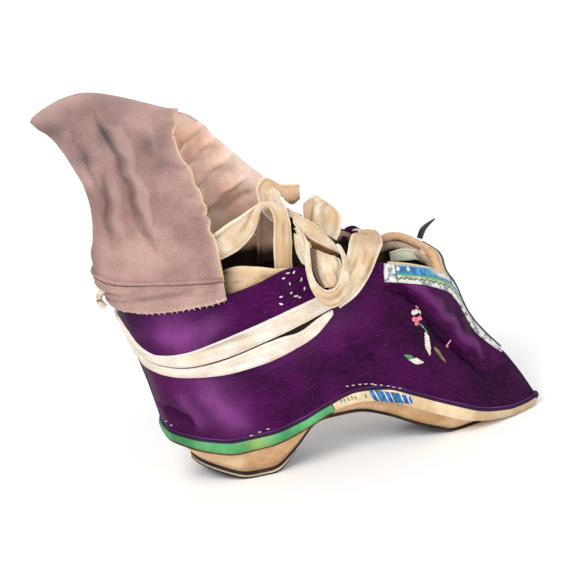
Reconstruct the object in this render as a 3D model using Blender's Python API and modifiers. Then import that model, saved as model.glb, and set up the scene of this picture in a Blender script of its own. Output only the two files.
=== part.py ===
"""Lotus shoe: a hollow silk upper on an arched wooden sole, with an ankle cuff and tied cotton tapes.

Frame: +X to the toe, +Y to the left of the shoe, +Z up, floor at Z = 0, and the origin under the
middle of the heel. Tables are in millimetres or in shares of the driving sizes; objects in metres.
"""

import math

import bmesh
import bpy
import numpy as np

MM = 0.001

# Driving sizes
LENGTH = 141.0  # heel back to toe tip, at the upper's lower edge
HEEL_BACK = -32.5  # X of the heel back
BALL_WIDTH = 36.0
HEEL_HEIGHT = 18.5  # lower edge of the upper above the floor, at the middle of the heel
INSTEP_HEIGHT = 83.5  # highest point of the topline
FIT = 0.3  # play between pieces that meet
UPPER_WALL = 1.6
LINING_WALL = 0.9
CUFF_WALL = 1.1
TRIM_WALL = 0.7
TREAD_THICK = 1.0
LIFT_THICK = 1.3
INSOLE_THICK = 2.2
RAND_PROUD = 0.9  # how far the bound edge stands out from the upper
RAND_INSIDE = 3.2
SOLE_RECESS = 1.3
TAPE_WALL = 1.1
FAR_LEAN = 5.5  # how far the far side of the throat leans forward of the near side
LEAN_ACROSS = (0.0, 9.0)  # where the lean grows from nothing to all of it, in Y, Z and X
LEAN_UP = (48.0, 66.0)
LEAN_ALONG = (50.0, 66.0)
FAR_DIP = 4.8  # how far the tape pulls the far topline down
DIP_AT = (57.0, 6.0)  # where, in X, and how widely
DIP_UP = (56.0, 74.0)

# One row for each section, from the back of the heel round one side to the toe tip. edge_ and top_
# are the section's lower and upper ends: along in % of LENGTH, wide in % of half BALL_WIDTH,
# edge_high in % of HEEL_HEIGHT, top_high in % of INSTEP_HEIGHT. low and high are the outward
# handles of its side, in mm. From row RIDGE on, the top ends lie on the vamp's centre ridge.
SECTION_COLUMNS = "edge_along edge_wide edge_high top_along top_wide top_high low high"
SECTIONS = (
    (0.0, 0.0, 131.0, -9.3, 0.0, 94.0, -1.5, -1.8),
    (0.9, 38.9, 124.0, -7.6, 47.2, 93.7, -1.2, -0.8),
    (4.3, 72.2, 117.0, -2.5, 80.6, 93.2, -0.2, 2.5),
    (9.9, 97.2, 107.6, 5.7, 101.0, 92.7, 1.5, 5.0),
    (17.0, 111.0, 100.5, 16.0, 111.0, 92.5, 3.5, 4.5),
    (25.9, 111.0, 101.6, 27.3, 114.0, 95.2, 4.0, 4.0),
    (34.5, 104.4, 113.0, 37.2, 114.0, 99.6, 4.0, 3.5),
    (42.2, 95.6, 131.0, 47.2, 111.0, 97.6, 4.0, 3.0),
    (51.0, 91.0, 147.6, 57.1, 102.8, 94.0, 4.5, 3.0),
    (58.5, 95.6, 142.7, 64.5, 91.7, 90.5, 5.0, 4.0),
    (65.6, 98.9, 119.0, 71.3, 66.7, 84.8, 5.0, 6.0),
    (72.0, 94.4, 91.9, 77.3, 30.6, 77.2, 4.5, 7.0),
    (78.0, 86.1, 66.5, 81.3, 0.0, 68.7, 4.0, 7.0),
    (83.3, 71.1, 43.2, 84.4, 0.0, 51.5, 3.5, 6.0),
    (88.3, 53.3, 28.1, 88.4, 0.0, 39.5, 3.0, 5.0),
    (93.5, 33.3, 18.4, 92.6, 0.0, 29.7, 2.0, 3.5),
    (97.2, 16.7, 16.8, 96.3, 0.0, 18.6, 1.0, 1.8),
    (99.1, 6.7, 17.3, 98.8, 0.0, 9.6, 0.4, 0.6),
    (100.0, 0.0, 17.8, 99.9, 0.0, 5.5, 0.0, 0.0),
)
RIDGE = 12
TIP = len(SECTIONS) - 1

# The walked-on line under the same sections, from the heel back to where the sole runs out: X, half
# width and Z in mm. It is flat on the floor under the heel and again under the forefoot.
GROUND_COLUMNS = "x half_width z"
GROUND = (
    (-23.5, 0.0, 7.2),
    (-22.4, 4.5, 6.7),
    (-19.0, 9.0, 5.3),
    (-13.0, 12.2, 2.8),
    (-4.5, 14.0, 0.0),
    (5.0, 14.0, 0.0),
    (14.0, 12.8, 6.8),
    (25.0, 11.6, 16.6),
    (38.5, 11.4, 16.9),
    (50.0, 12.0, 13.2),
    (60.0, 12.2, 7.6),
    (68.5, 11.0, 3.2),
    (76.0, 9.0, 0.0),
    (84.0, 6.5, 0.0),
    (90.0, 4.0, 0.1),
    (96.5, 2.2, 0.3),
)
# Height of the bound edge at rows of SECTIONS
RAND_ROWS = (0, 2, 3, 4, 5, 6, 7, 8, 9, 12, 13, 15, 18)
RAND_HIGH = (3.0, 3.6, 4.3, 4.8, 4.4, 3.6, 3.2, 4.4, 4.9, 4.6, 3.8, 2.8, 2.3)
RAND_SPLIT = 7.15  # where the green edge ends and the cream one begins, in rows
SPLIT_GAP = 0.03  # between the two, in rows
RAND_NOSE = 14.4  # in front of this row the cream edge is solid across
NOSE_HOLLOW = 2.3  # how far its top is let down there, under the upper
SOLE_END = 14.9
TREAD_END = 13.6
LIFT_END = 6.0
LIFT_FADE = (5.2, 6.5)

# The ribbon round the throat: at row places, its width down the upper, in mm. It starts at the
# topline and runs out on the ridge.
TRIM_COLUMNS = "row width"
TRIM = (
    (8.7, 6.8),
    (9.5, 6.8),
    (10.5, 6.8),
    (11.3, 6.9),
    (12.0, 7.2),
    (12.7, 6.4),
    (13.4, 5.0),
    (14.2, 3.2),
    (14.9, 1.6),
)

# The collar lining: at row places, how far it reaches above the topline and below it, in mm
LINING_COLUMNS = "row above below"
LINING = (
    (0.0, 1.0, 14.0),
    (2.0, 1.5, 14.0),
    (3.6, 5.0, 14.0),
    (4.5, 9.0, 14.0),
    (5.1, 6.0, 14.0),
    (5.7, 1.0, 14.0),
    (6.4, -1.5, 14.0),
    (7.6, -2.0, 12.0),
)

# The cuff's lower band: at places round it, how far its raw edge and its seam lie from the topline,
# in mm. place is a row place, below 0 on the far side.
BAND_COLUMNS = "place raw_edge seam"
BAND = (
    (-5.9, -2.5, 4.5),
    (-4.5, -2.5, 5.5),
    (-2.5, -2.5, 8.0),
    (0.0, -2.5, 9.5),
    (2.5, -2.4, 7.5),
    (3.6, -2.0, 6.2),
    (4.3, -1.2, 5.2),
)

# The cuff's levels above the band's seam, lowest first, in mm: its near front edge, near side, back
# fold, far side and far front edge.
CUFF_COLUMNS = (
    "near_x near_y near_z near_side_x near_side_y near_side_z back_x back_z "
    "far_side_x far_side_y far_side_z far_x far_y far_z"
)
CUFF = (
    (-5.5, -17.5, 95.2, -27.5, -17.0, 96.0, -49.6, 96.0, -18.0, 18.0, 95.0, 17.5, 15.5, 97.0),
    (-6.8, -15.6, 103.3, -27.0, -15.4, 103.5, -47.6, 103.0, -18.0, 16.0, 103.0, 14.5, 13.0, 103.5),
    (-7.8, -14.3, 114.7, -27.5, -13.8, 115.5, -47.0, 115.0, -20.0, 14.0, 115.0, 10.0, 11.5, 116.0),
    (-11.8, -13.0, 128.7, -31.0, -12.0, 130.0, -49.8, 128.0, -24.0, 10.5, 127.0, 3.6, 9.0, 128.5),
    (-14.9, -12.0, 139.6, -37.0, -10.0, 145.0, -56.0, 141.5, -30.0, 7.0, 139.0, -1.5, 7.0, 136.5),
    (-12.3, -10.5, 150.6, -45.0, -7.0, 162.8, -64.9, 153.0, -36.0, 3.0, 153.0, -7.0, 4.5, 142.0),
)

# The tapes round the heel: heights of each tape's edges at places round the upper, in mm
WRAP_COLUMNS = "place upper_top upper_low lower_top lower_low"
WRAP = (
    (-7.0, 74.5, 66.0, 65.3, 59.5),
    (-5.0, 73.5, 65.0, 64.3, 58.5),
    (-3.0, 73.0, 66.0, 65.3, 60.5),
    (-1.5, 72.3, 67.0, 66.3, 61.5),
    (-0.5, 70.5, 65.5, 64.8, 60.0),
    (0.4, 67.0, 61.5, 60.8, 56.0),
    (1.2, 60.5, 56.5, 55.8, 52.0),
    (2.0, 57.4, 53.8, 53.1, 49.8),
    (3.0, 58.4, 52.8, 52.1, 48.2),
    (4.0, 61.4, 54.2, 53.5, 47.8),
    (5.0, 65.0, 57.4, 56.7, 49.2),
    (6.0, 68.4, 60.8, 60.1, 52.6),
    (7.1, 72.0, 65.0, 64.3, 57.6),
)

# The rest of the tapes, each a strip between two edges, in mm
STRIP_COLUMNS = "first_x first_y first_z second_x second_y second_z"
CROSSING = (
    (31.5, -23.4, 71.5, 36.0, -23.4, 65.0),
    (34.5, -23.3, 75.5, 43.0, -22.8, 68.6),
    (39.0, -22.3, 80.0, 49.0, -21.3, 74.5),
    (42.5, -18.5, 84.5, 54.0, -17.5, 80.5),
    (44.5, -12.0, 85.0, 57.0, -11.0, 81.0),
    (47.5, -3.0, 84.3, 58.5, -3.0, 79.0),
    (51.0, 5.0, 81.0, 60.0, 5.5, 76.0),
    (52.8, 12.0, 78.3, 60.8, 12.5, 75.0),
    (52.0, 17.2, 77.2, 59.8, 17.4, 74.8),
    (49.0, 21.3, 74.8, 56.5, 20.9, 70.6),
    (42.5, 22.6, 74.6, 50.0, 22.0, 68.6),
    (34.5, 23.3, 75.0, 42.5, 22.8, 68.2),
    (31.5, 23.4, 71.5, 36.0, 23.4, 65.0),
)
NEAR_TIE = (
    (13.8, -16.6, 72.0, 23.8, -16.6, 72.0),
    (14.0, -16.0, 83.0, 23.0, -16.0, 82.0),
    (16.6, -13.0, 93.0, 23.8, -12.6, 92.0),
    (17.8, -11.0, 100.5, 24.2, -10.5, 100.0),
    (16.0, -10.0, 103.4, 20.0, -9.6, 106.2),
    (13.0, -10.0, 101.2, 14.6, -9.6, 107.4),
    (9.0, -10.6, 94.0, 8.6, -10.2, 106.4),
    (2.0, -12.0, 91.0, 2.0, -11.6, 103.6),
    (-5.0, -12.8, 89.0, -6.0, -12.4, 100.4),
)
FAR_TIE = (
    (14.0, 16.6, 72.0, 24.0, 16.6, 72.0),
    (15.0, 16.0, 83.0, 25.0, 16.0, 82.0),
    (19.0, 12.0, 91.0, 28.0, 12.0, 86.0),
    (24.0, 5.0, 96.0, 30.0, 5.0, 88.0),
    (27.5, -3.5, 97.5, 33.0, -3.5, 89.5),
)
NEAR_LOOP = (
    (29.5, -16.9, 92.0, 25.5, -18.6, 89.5),
    (30.2, -21.0, 85.6, 25.8, -24.4, 82.4),
    (29.8, -23.0, 79.0, 26.3, -27.2, 75.4),
    (31.0, -24.6, 75.0, 29.2, -28.6, 70.0),
    (34.8, -26.0, 73.2, 33.8, -29.6, 67.4),
    (38.5, -25.2, 75.8, 39.5, -28.6, 69.8),
    (41.0, -23.6, 81.2, 44.0, -26.2, 75.7),
    (41.0, -20.0, 86.0, 45.5, -22.0, 83.0),
)
POINTED_END = (
    (29.0, -8.2, 97.4, 41.4, -8.2, 86.9),
    (30.8, -7.0, 101.0, 45.0, -6.5, 96.0),
    (33.0, -6.0, 103.0, 40.5, -6.0, 100.6),
    (35.4, -5.6, 104.6, 36.2, -5.6, 104.4),
)
CUT_END = (
    (27.5, -9.2, 93.0, 25.8, -9.6, 98.8),
    (18.5, -6.6, 94.0, 24.0, -7.0, 97.6),
    (12.8, -6.0, 100.0, 22.8, -6.0, 99.0),
    (13.8, -4.4, 107.5, 22.8, -4.4, 103.2),
    (18.0, -3.6, 113.6, 24.4, -3.6, 105.6),
    (24.0, -4.2, 112.0, 26.0, -4.2, 103.4),
    (30.9, -4.0, 109.0, 28.8, -4.0, 101.0),
)
KNOT_MIDDLE = (33.2, -12.6, 91.2)
KNOT_SIZE = (21.0, 8.0, 9.0)  # along its slant, across the shoe, and square to both
KNOT_SLANT = 45.0  # degrees down to the toe

# The dark tab at the far side of the throat: X, Y, Z and radius in mm
HORN_COLUMNS = "x y z radius"
HORN = (
    (75.2, 11.8, 71.0, 1.2),
    (76.8, 11.9, 74.0, 1.2),
    (78.8, 12.0, 75.6, 0.85),
    (82.0, 12.2, 77.4, 0.3),
)

COLOURS = {
    "silk": ((0.105, 0.010, 0.150), 0.42),
    "ribbon": ((0.060, 0.230, 0.360), 0.60),
    "cotton_lining": ((0.720, 0.600, 0.430), 0.90),
    "insole_cotton": ((0.560, 0.420, 0.280), 0.92),
    "covered_wood": ((0.620, 0.440, 0.270), 0.85),
    "tread": ((0.040, 0.028, 0.022), 0.75),
    "green_edge": ((0.110, 0.370, 0.160), 0.65),
    "cream_edge": ((0.720, 0.570, 0.380), 0.70),
    "mauve_cotton": ((0.310, 0.190, 0.180), 0.92),
    "tape": ((0.740, 0.620, 0.450), 0.88),
    "horn": ((0.030, 0.030, 0.045), 0.40),
}


def ease(values, start, finish):
    """0 before start, 1 after finish, and a soft step between."""
    t = np.clip((values - start) / (finish - start), 0, 1)
    return t * t * (3 - 2 * t)


def glide(table, places):
    """A smooth line through the table's rows that never overshoots them; places count rows."""
    table = np.asarray(table, float)
    places = np.asarray(places, float)
    step = np.diff(table, axis=0)
    product = step[:-1] * step[1:]
    total = np.where(product > 0, step[:-1] + step[1:], 1.0)
    slope = np.zeros_like(table)
    slope[1:-1] = np.where(product > 0, 2 * product / total, 0.0)
    slope[0] = step[0]
    slope[-1] = step[-1]
    row = np.clip(np.floor(places).astype(int), 0, len(table) - 2)
    t = (places - row)[:, None]
    start = (1 + 2 * t) * (1 - t) ** 2 * table[row] + t * (1 - t) ** 2 * slope[row]
    end = t * t * (3 - 2 * t) * table[row + 1] - t * t * (1 - t) * slope[row + 1]
    return start + end


def section_table():
    """SECTIONS in millimetres, with two mirrored rows before the heel back so that it stays round."""
    rows = np.array(SECTIONS)
    for along in (0, 3):
        rows[:, along] = HEEL_BACK + rows[:, along] * LENGTH / 100
    for wide in (1, 4):
        rows[:, wide] *= -BALL_WIDTH / 200
    rows[:, 2] *= HEEL_HEIGHT / 100
    rows[:, 5] *= INSTEP_HEIGHT / 100
    mirrored = rows[2:0:-1] * (1, -1, 1, 1, -1, 1, 1, 1)
    return np.vstack([mirrored, rows])


SECTION_MM = section_table()


def unit(vectors):
    return vectors / np.maximum(np.linalg.norm(vectors, axis=-1, keepdims=True), 1e-9)


def side(rows, shares):
    """Points of the upper's outer face on the near side: one line for each row place, one point on
    it for each share of the way up, from the lower edge (0) to the top (1)."""
    rows = np.asarray(rows, float)
    shares = np.asarray(shares, float)
    if shares.ndim == 1:
        shares = np.broadcast_to(shares, (len(rows), len(shares)))
    values = glide(SECTION_MM, rows + 2)
    nudge = 0.02
    ahead = glide(SECTION_MM, np.minimum(rows + nudge, TIP) + 2)
    behind = glide(SECTION_MM, rows - nudge + 2)
    edge, top = values[:, :3], values[:, 3:6]
    forward = (ahead - behind)[:, :3] + (ahead - behind)[:, 3:6]
    outward = unit(np.cross(forward, top - edge))
    outward = np.where(outward[:, 1:2] > 0, outward * (1, -1, 1), outward)
    v = shares[:, :, None]
    bow = 3 * (1 - v) ** 2 * v * values[:, None, 6:7] + 3 * (1 - v) * v * v * values[:, None, 7:8]
    return edge[:, None] + (top - edge)[:, None] * v + outward[:, None] * bow


def normals(rows, shares):
    rows = np.asarray(rows, float)
    nudge = 0.02
    ahead = side(np.minimum(rows + nudge, TIP), shares)
    behind = side(rows - nudge, shares)
    above = side(rows, shares + nudge)
    below = side(rows, shares - nudge)
    return unit(np.cross(ahead - behind, above - below))


def face(rows, shares, out):
    """The upper's outer face moved outwards by out. Points on the ridge stay on the centre plane."""
    rows = np.asarray(rows, float)
    shares = np.asarray(shares, float)
    if shares.ndim == 1:
        shares = np.broadcast_to(shares, (len(rows), len(shares)))
    points = side(rows, shares)
    normal = normals(rows, shares)
    on_plane = (np.abs(points[..., 1]) < 1e-6)[..., None]
    flat = unit(normal * (1, 0, 1))
    even = np.minimum(1 / np.maximum((normal * flat).sum(-1, keepdims=True), 0.1), 2.0)
    return points + out * np.where(on_plane, flat * even, normal)


def pulled_back(rows, last):
    """Row places in front of the V, squeezed so that the tip falls on row place last."""
    rows = np.asarray(rows, float)
    return np.where(rows > RIDGE, RIDGE + (rows - RIDGE) * (last - RIDGE) / (TIP - RIDGE), rows)


def inner_face(rows, shares, depth, last):
    """The wall's inner face: each section moved in by depth and cut off at the centre plane."""
    fine = np.linspace(0, 1, 61)
    lines = []
    for row, place in zip(rows, pulled_back(rows, last)):
        line = face([place], fine, -depth)[0]
        line[0, 2] = max(line[0, 2], side([place], [0.0])[0, 0, 2])
        count = len(fine)
        if row >= RIDGE:
            over = np.nonzero(line[:, 1] >= -1e-6)[0]
            over = over[over > 2]
            count = over[0] + 1 if len(over) else count
            if count > 1 and line[count - 1, 1] > line[count - 2, 1]:
                share = line[count - 2, 1] / (line[count - 2, 1] - line[count - 1, 1])
                line[count - 1] = line[count - 2] + share * (line[count - 1] - line[count - 2])
            line[count - 1, 1] = 0
        line = line[:count]
        step = np.linalg.norm(np.diff(line, axis=0), axis=1)
        run = np.concatenate([[0], np.cumsum(step)])
        line = np.stack([np.interp(shares * run[-1], run, line[:, i]) for i in range(3)], 1)
        if row == 0 or row == TIP:
            line[:, 1] = 0
        lines.append(line)
    return np.array(lines)


def ring(rows, out, up):
    """The upper's lower edge moved outwards and, square to its run, upwards."""
    rows = np.asarray(rows, float)
    nudge = 0.02
    edge = glide(SECTION_MM, rows + 2)[:, :3]
    ahead = glide(SECTION_MM, np.minimum(rows + nudge, TIP) + 2)[:, :3]
    behind = glide(SECTION_MM, rows - nudge + 2)[:, :3]
    run = unit(ahead - behind)
    outward = unit(np.cross(run * (1, 1, 0), (0, 0, 1)))
    upward = unit(np.cross(outward, run))
    upward = np.where(upward[:, 2:] < 0, -upward, upward)
    out = np.broadcast_to(out, len(rows))[:, None]
    up = np.broadcast_to(up, len(rows))[:, None]
    return edge + out * outward + up * upward


def rand_high(rows):
    return np.interp(rows, RAND_ROWS, RAND_HIGH)


def material(name):
    colour, roughness = COLOURS[name]
    made = bpy.data.materials.get(name) or bpy.data.materials.new(name)
    made.use_nodes = True
    shader = made.node_tree.nodes["Principled BSDF"]
    shader.inputs["Base Color"].default_value = (*colour, 1)
    shader.inputs["Roughness"].default_value = roughness
    shader.inputs["Metallic"].default_value = 0
    return made


def far_lean(point):
    """A point of the throat, its far side leaned forward and pulled down by the tape."""
    x, y, z = point
    far = ease(y, *LEAN_ACROSS)
    x = x + FAR_LEAN * far * ease(z, *LEAN_UP) * ease(x, *LEAN_ALONG)
    middle, spread = DIP_AT
    dip = FAR_DIP * far * ease(z, *DIP_UP) * math.exp(-(((x - middle) / spread) ** 2))
    return np.array((x, y, z - dip))


def both_sides(quads):
    """Quads of the near side and their mirror images, with the throat's lean."""
    flip = (1, -1, 1)
    every = quads + [[corner * flip for corner in reversed(quad)] for quad in quads]
    return [[far_lean(corner) for corner in quad] for quad in every]


def piece(name, look, quads, mirrored=False):
    """One object from quads given as corner points in mm; equal corners become one vertex."""
    mesh = bmesh.new()
    for corners in quads:
        mesh.faces.new([mesh.verts.new(np.asarray(corner) * MM) for corner in corners])
    bmesh.ops.remove_doubles(mesh, verts=mesh.verts, dist=1e-7)
    bmesh.ops.dissolve_degenerate(mesh, edges=mesh.edges, dist=1e-7)
    bmesh.ops.recalc_face_normals(mesh, faces=mesh.faces)
    if mesh.calc_volume(signed=True) < 0:
        bmesh.ops.reverse_faces(mesh, faces=mesh.faces)
    data = bpy.data.meshes.new(name)
    mesh.to_mesh(data)
    mesh.free()
    data.materials.append(material(look))
    data.shade_smooth()
    data.set_sharp_from_angle(angle=math.radians(40))
    made = bpy.data.objects.new(name, data)
    shoe.objects.link(made)
    if mirrored:
        mirror = made.modifiers.new("other side", "MIRROR")
        mirror.use_axis = (False, True, False)
        mirror.merge_threshold = 1e-5
    return made


def between(first, second):
    """Quads between two lines of points."""
    return [(first[i], first[i + 1], second[i + 1], second[i]) for i in range(len(first) - 1)]


def sheet(grid):
    """Quads of a grid of points."""
    quads = []
    for i in range(len(grid) - 1):
        quads += between(grid[i], grid[i + 1])
    return quads


def shell(outer, inner, rims="ends low high"):
    """Quads of a wall between two grids, closed along the rims that are named."""
    quads = sheet(outer) + sheet(inner)
    if "start" in rims or "ends" in rims:
        quads += between(outer[0], inner[0])
    if "finish" in rims or "ends" in rims:
        quads += between(outer[-1], inner[-1])
    if "low" in rims:
        quads += between(outer[:, 0], inner[:, 0])
    if "high" in rims:
        quads += between(outer[:, -1], inner[:, -1])
    return quads


def rail(lines, closed_ends="both"):
    """Quads of a bar whose section has one corner on each of the lines."""
    quads = []
    for first, second in zip(lines, lines[1:] + lines[:1]):
        quads += between(first, second)
    if closed_ends in ("both", "start"):
        quads.append([line[0] for line in lines])
    if closed_ends in ("both", "finish"):
        quads.append([line[-1] for line in lines])
    return quads


def make_upper():
    rows = np.arange(0, TIP + 0.1, 0.5)
    shares = np.linspace(0, 1, 11)
    outer = face(rows, shares, 0)
    inner = inner_face(rows, shares, UPPER_WALL, 16.2)
    quads = shell(outer, inner, rims="low")
    throat = rows <= RIDGE
    quads += between(outer[throat, -1], inner[throat, -1])
    return piece("upper", "silk", both_sides(quads))


def slab(top, bottom, across=3):
    """Quads of the near half of a plate between its top and bottom outlines."""
    quads = []
    steps = np.linspace(0, 1, across)
    upper = np.array([top * (1, s, 1) for s in steps]).transpose(1, 0, 2)
    lower = np.array([bottom * (1, s, 1) for s in steps]).transpose(1, 0, 2)
    quads += sheet(upper) + sheet(lower) + between(top, bottom)
    quads += between(upper[0], lower[0]) + between(upper[-1], lower[-1])
    return quads


def ground(rows, raised):
    """The walked-on line, raised."""
    line = glide(np.array(GROUND) * (1, -1, 1), rows)
    line[:, 2] += raised
    return line


def lift_room(rows):
    """Height of the heel's extra lift, with its gap, over the walked-on line."""
    return (LIFT_THICK + FIT) * (1 - ease(rows, *LIFT_FADE))


def plate_rows(end):
    """Row places for a plate under the shoe, closer together round the heel back."""
    return np.concatenate([[0.15, 0.5, 1.0, 1.5], np.arange(2, end, 0.5), [end]])


def sole_top():
    rows = plate_rows(SOLE_END)
    return ring(rows, -SOLE_RECESS, -(rand_high(rows) + FIT))


def seated(line):
    """A line's points set down on the sole's top, with play; past the toe end of it they stay."""
    top = sole_top()
    high = np.interp(line[:, 0], top[:, 0], top[:, 2]) + 1.5 * FIT
    line[:, 2] = np.where(line[:, 0] < top[-1, 0], high, line[:, 2])
    return line


def make_sole():
    rows = plate_rows(SOLE_END)
    bottom = ground(rows, lift_room(rows) + TREAD_THICK + FIT)
    return piece("sole", "covered_wood", slab(sole_top(), bottom), mirrored=True)


def make_tread():
    rows = plate_rows(TREAD_END)
    low = ground(rows, lift_room(rows))
    high = ground(rows, lift_room(rows) + TREAD_THICK)
    return piece("tread", "tread", slab(high, low), mirrored=True)


def make_heel_lift():
    rows = plate_rows(LIFT_END)
    low = ground(rows, 0)
    high = ground(rows, lift_room(rows) - FIT)
    return piece("heel_lift", "tread", slab(high, low), mirrored=True)


def make_insole():
    rows = np.concatenate([[0.3, 1.0], np.arange(2, RAND_NOSE - 0.6, 0.5)])
    low = seated(ring(rows, -RAND_INSIDE - 2 * FIT, 0))
    high = low + (0, 0, INSOLE_THICK)
    return piece("insole", "insole_cotton", slab(high, low), mirrored=True)


def rand_lines(rows, last):
    """The four corner lines of the bound edge: outer top, outer low, inner low, inner top."""
    high = rand_high(rows)
    near = pulled_back(rows, last)
    hollow = np.interp(rows, (RIDGE, RIDGE + 2), (0, NOSE_HOLLOW))
    lines = [
        ring(rows, RAND_PROUD, -FIT),
        seated(ring(rows, RAND_PROUD - 0.2, -high)),
        seated(ring(near, -RAND_INSIDE, -rand_high(near))),
        ring(near, -RAND_INSIDE, -FIT - hollow),
    ]
    return lines


def make_rands():
    rows = np.concatenate([np.arange(0, RAND_SPLIT, 0.4), [RAND_SPLIT]])
    lines = rand_lines(rows, TIP)
    for line in lines:
        line[0, 1] = 0
    piece("rand_heel", "green_edge", rail(lines, "finish"), mirrored=True)
    rows = np.concatenate([[RAND_SPLIT + SPLIT_GAP], np.arange(7.5, TIP + 0.1, 0.5)])
    lines = rand_lines(rows, RAND_NOSE)
    for line in lines:
        line[-1, 1] = 0
    piece("rand_fore", "cream_edge", rail(lines, "start"), mirrored=True)


def flow(table, places):
    """A smooth line through every row of the table, rounder than glide's."""
    table = np.asarray(table, float)
    places = np.asarray(places, float)
    padded = np.vstack([2 * table[0] - table[1], table, 2 * table[-1] - table[-2]])
    row = np.clip(np.floor(places).astype(int), 0, len(table) - 2)
    t = (places - row)[:, None]
    a, b, c, d = (padded[row + i] for i in range(4))
    return 0.5 * (2 * b + (c - a) * t + (2 * a - 5 * b + 4 * c - d) * t**2 + (3 * b - a - 3 * c + d) * t**3)


def by_place(table, column, places):
    """One column of a table whose first column is a place, read smoothly at other places."""
    table = np.asarray(table, float)
    index = np.interp(places, table[:, 0], np.arange(len(table)))
    return glide(table, index)[:, column]


def side_height(rows):
    """Length of each section's side, in mm."""
    values = glide(SECTION_MM, np.asarray(rows, float) + 2)
    return np.linalg.norm(values[:, 3:6] - values[:, :3], axis=1)


def round_the_upper(places, shares, out):
    """Points on or off the upper at places that are below 0 on the far side."""
    points = face(np.abs(places), shares, out)
    points[np.asarray(places) < 0] *= (1, -1, 1)
    return points


def across(low, high, count):
    """Shares from low to high, one line for each place."""
    return np.linspace(low, high, count).T


def make_throat_trim():
    rows = np.arange(8.7, 14.91, 0.31)
    width = by_place(TRIM, 1, rows)
    low = 1 - width / side_height(rows)
    shares = across(low, np.ones(len(rows)), 4)
    inner = face(rows, shares, FIT)
    outer = face(rows, shares, FIT + TRIM_WALL)
    quads = shell(outer, inner, rims="ends low")
    throat = rows <= RIDGE + 0.2
    quads += between(outer[throat, -1], inner[throat, -1])
    return piece("throat_trim", "ribbon", both_sides(quads))


def make_collar_lining():
    rows = np.linspace(0, 7.6, 20)
    height = side_height(rows)
    low = 1 - by_place(LINING, 2, rows) / height
    high = 1 + by_place(LINING, 1, rows) / height
    shares = across(low, high, 4)
    outer = face(rows, shares, -UPPER_WALL - 2 * FIT)
    inner = face(rows, shares, -UPPER_WALL - 2 * FIT - LINING_WALL)
    quads = shell(outer, inner, rims="finish low high")
    return piece("collar_lining", "cotton_lining", quads, mirrored=True)


def band_shares(places, start, finish, count):
    """Shares of the upper's sides for a strip whose edges lie these columns of BAND from the top."""
    height = side_height(np.abs(places))
    low = 1 + by_place(BAND, start, places) / height
    high = 1 + by_place(BAND, finish, places) / height
    return across(low, high, count)


def make_cuff_band():
    places = np.linspace(BAND[0][0], BAND[-1][0], 35)
    shares = band_shares(places, 1, 2, 4)
    inner = round_the_upper(places, shares, FIT)
    outer = round_the_upper(places, shares, FIT + CUFF_WALL)
    return piece("cuff_band", "mauve_cotton", shell(outer, inner))


def cuff_levels():
    """Lines of points round the cuff from its near front edge, one line for each level."""
    places = np.linspace(BAND[-1][0], BAND[0][0], 31)
    shares = band_shares(places, 2, 2, 2)
    seam = round_the_upper(places, shares, FIT + CUFF_WALL / 2)[:, 0]
    seam[:, 2] += FIT
    corners = np.linspace(0, 4, len(places))
    lines = [seam]
    for row in CUFF:
        near, near_side = row[0:3], row[3:6]
        back = (row[6], 0.0, row[7])
        far_side, far = row[8:11], row[11:14]
        line = flow((near, near_side, back, far_side, far), corners)
        lines.append(line)
    return np.array(lines)


def thickened(grid, wall):
    """A grid's two faces, half the wall to each side of it."""
    run = np.gradient(grid, axis=0)
    over = np.gradient(grid, axis=1)
    normal = unit(np.cross(run, over))
    return grid + normal * wall / 2, grid - normal * wall / 2


def make_cuff():
    levels = cuff_levels()
    places = np.linspace(0, len(levels) - 1, 14)
    flat = levels.reshape(len(levels), -1)
    grid = flow(flat, places).reshape(len(places), -1, 3)
    outer, inner = thickened(grid, CUFF_WALL)
    outer[0, :, 2] = inner[0, :, 2] = grid[0, :, 2]
    return piece("cuff", "mauve_cotton", shell(outer, inner))


def make_wraps():
    places = np.concatenate([np.arange(-7.0, -1.5, 0.5), np.arange(-1.5, 2.0, 0.25), np.arange(2, 7.2, 0.425)])
    values = glide(SECTION_MM, np.abs(places) + 2)
    low, high = values[:, 2], values[:, 5]
    for name, top, bottom in (("heel_tape_upper", 1, 2), ("heel_tape_lower", 3, 4)):
        edges = [(by_place(WRAP, column, places) - low) / (high - low) for column in (bottom, top)]
        shares = across(edges[0], edges[1], 3)
        inner = round_the_upper(places, shares, FIT)
        outer = round_the_upper(places, shares, FIT + TAPE_WALL)
        piece(name, "tape", shell(outer, inner))


def make_strip(name, table, steps=3, look="tape"):
    """A tape between the two edges that the table gives."""
    line = flow(table, np.linspace(0, len(table) - 1, steps * (len(table) - 1) + 1))
    first, second = line[:, :3], line[:, 3:]
    grid = np.stack([first, (first + second) / 2, second], 1)
    outer, inner = thickened(grid, TAPE_WALL)
    return piece(name, look, shell(outer, inner))


def make_knot():
    mesh = bmesh.new()
    bmesh.ops.create_uvsphere(mesh, u_segments=16, v_segments=10, radius=0.5)
    data = bpy.data.meshes.new("knot")
    mesh.to_mesh(data)
    mesh.free()
    size = np.array(KNOT_SIZE) * MM
    slant = math.radians(KNOT_SLANT)
    for vertex in data.vertices:
        x, y, z = (vertex.co[i] * size[i] for i in range(3))
        vertex.co = (
            x * math.cos(slant) + z * math.sin(slant) + KNOT_MIDDLE[0] * MM,
            y + KNOT_MIDDLE[1] * MM,
            -x * math.sin(slant) + z * math.cos(slant) + KNOT_MIDDLE[2] * MM,
        )
    data.materials.append(material("tape"))
    data.shade_smooth()
    shoe.objects.link(bpy.data.objects.new("knot", data))


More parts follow.
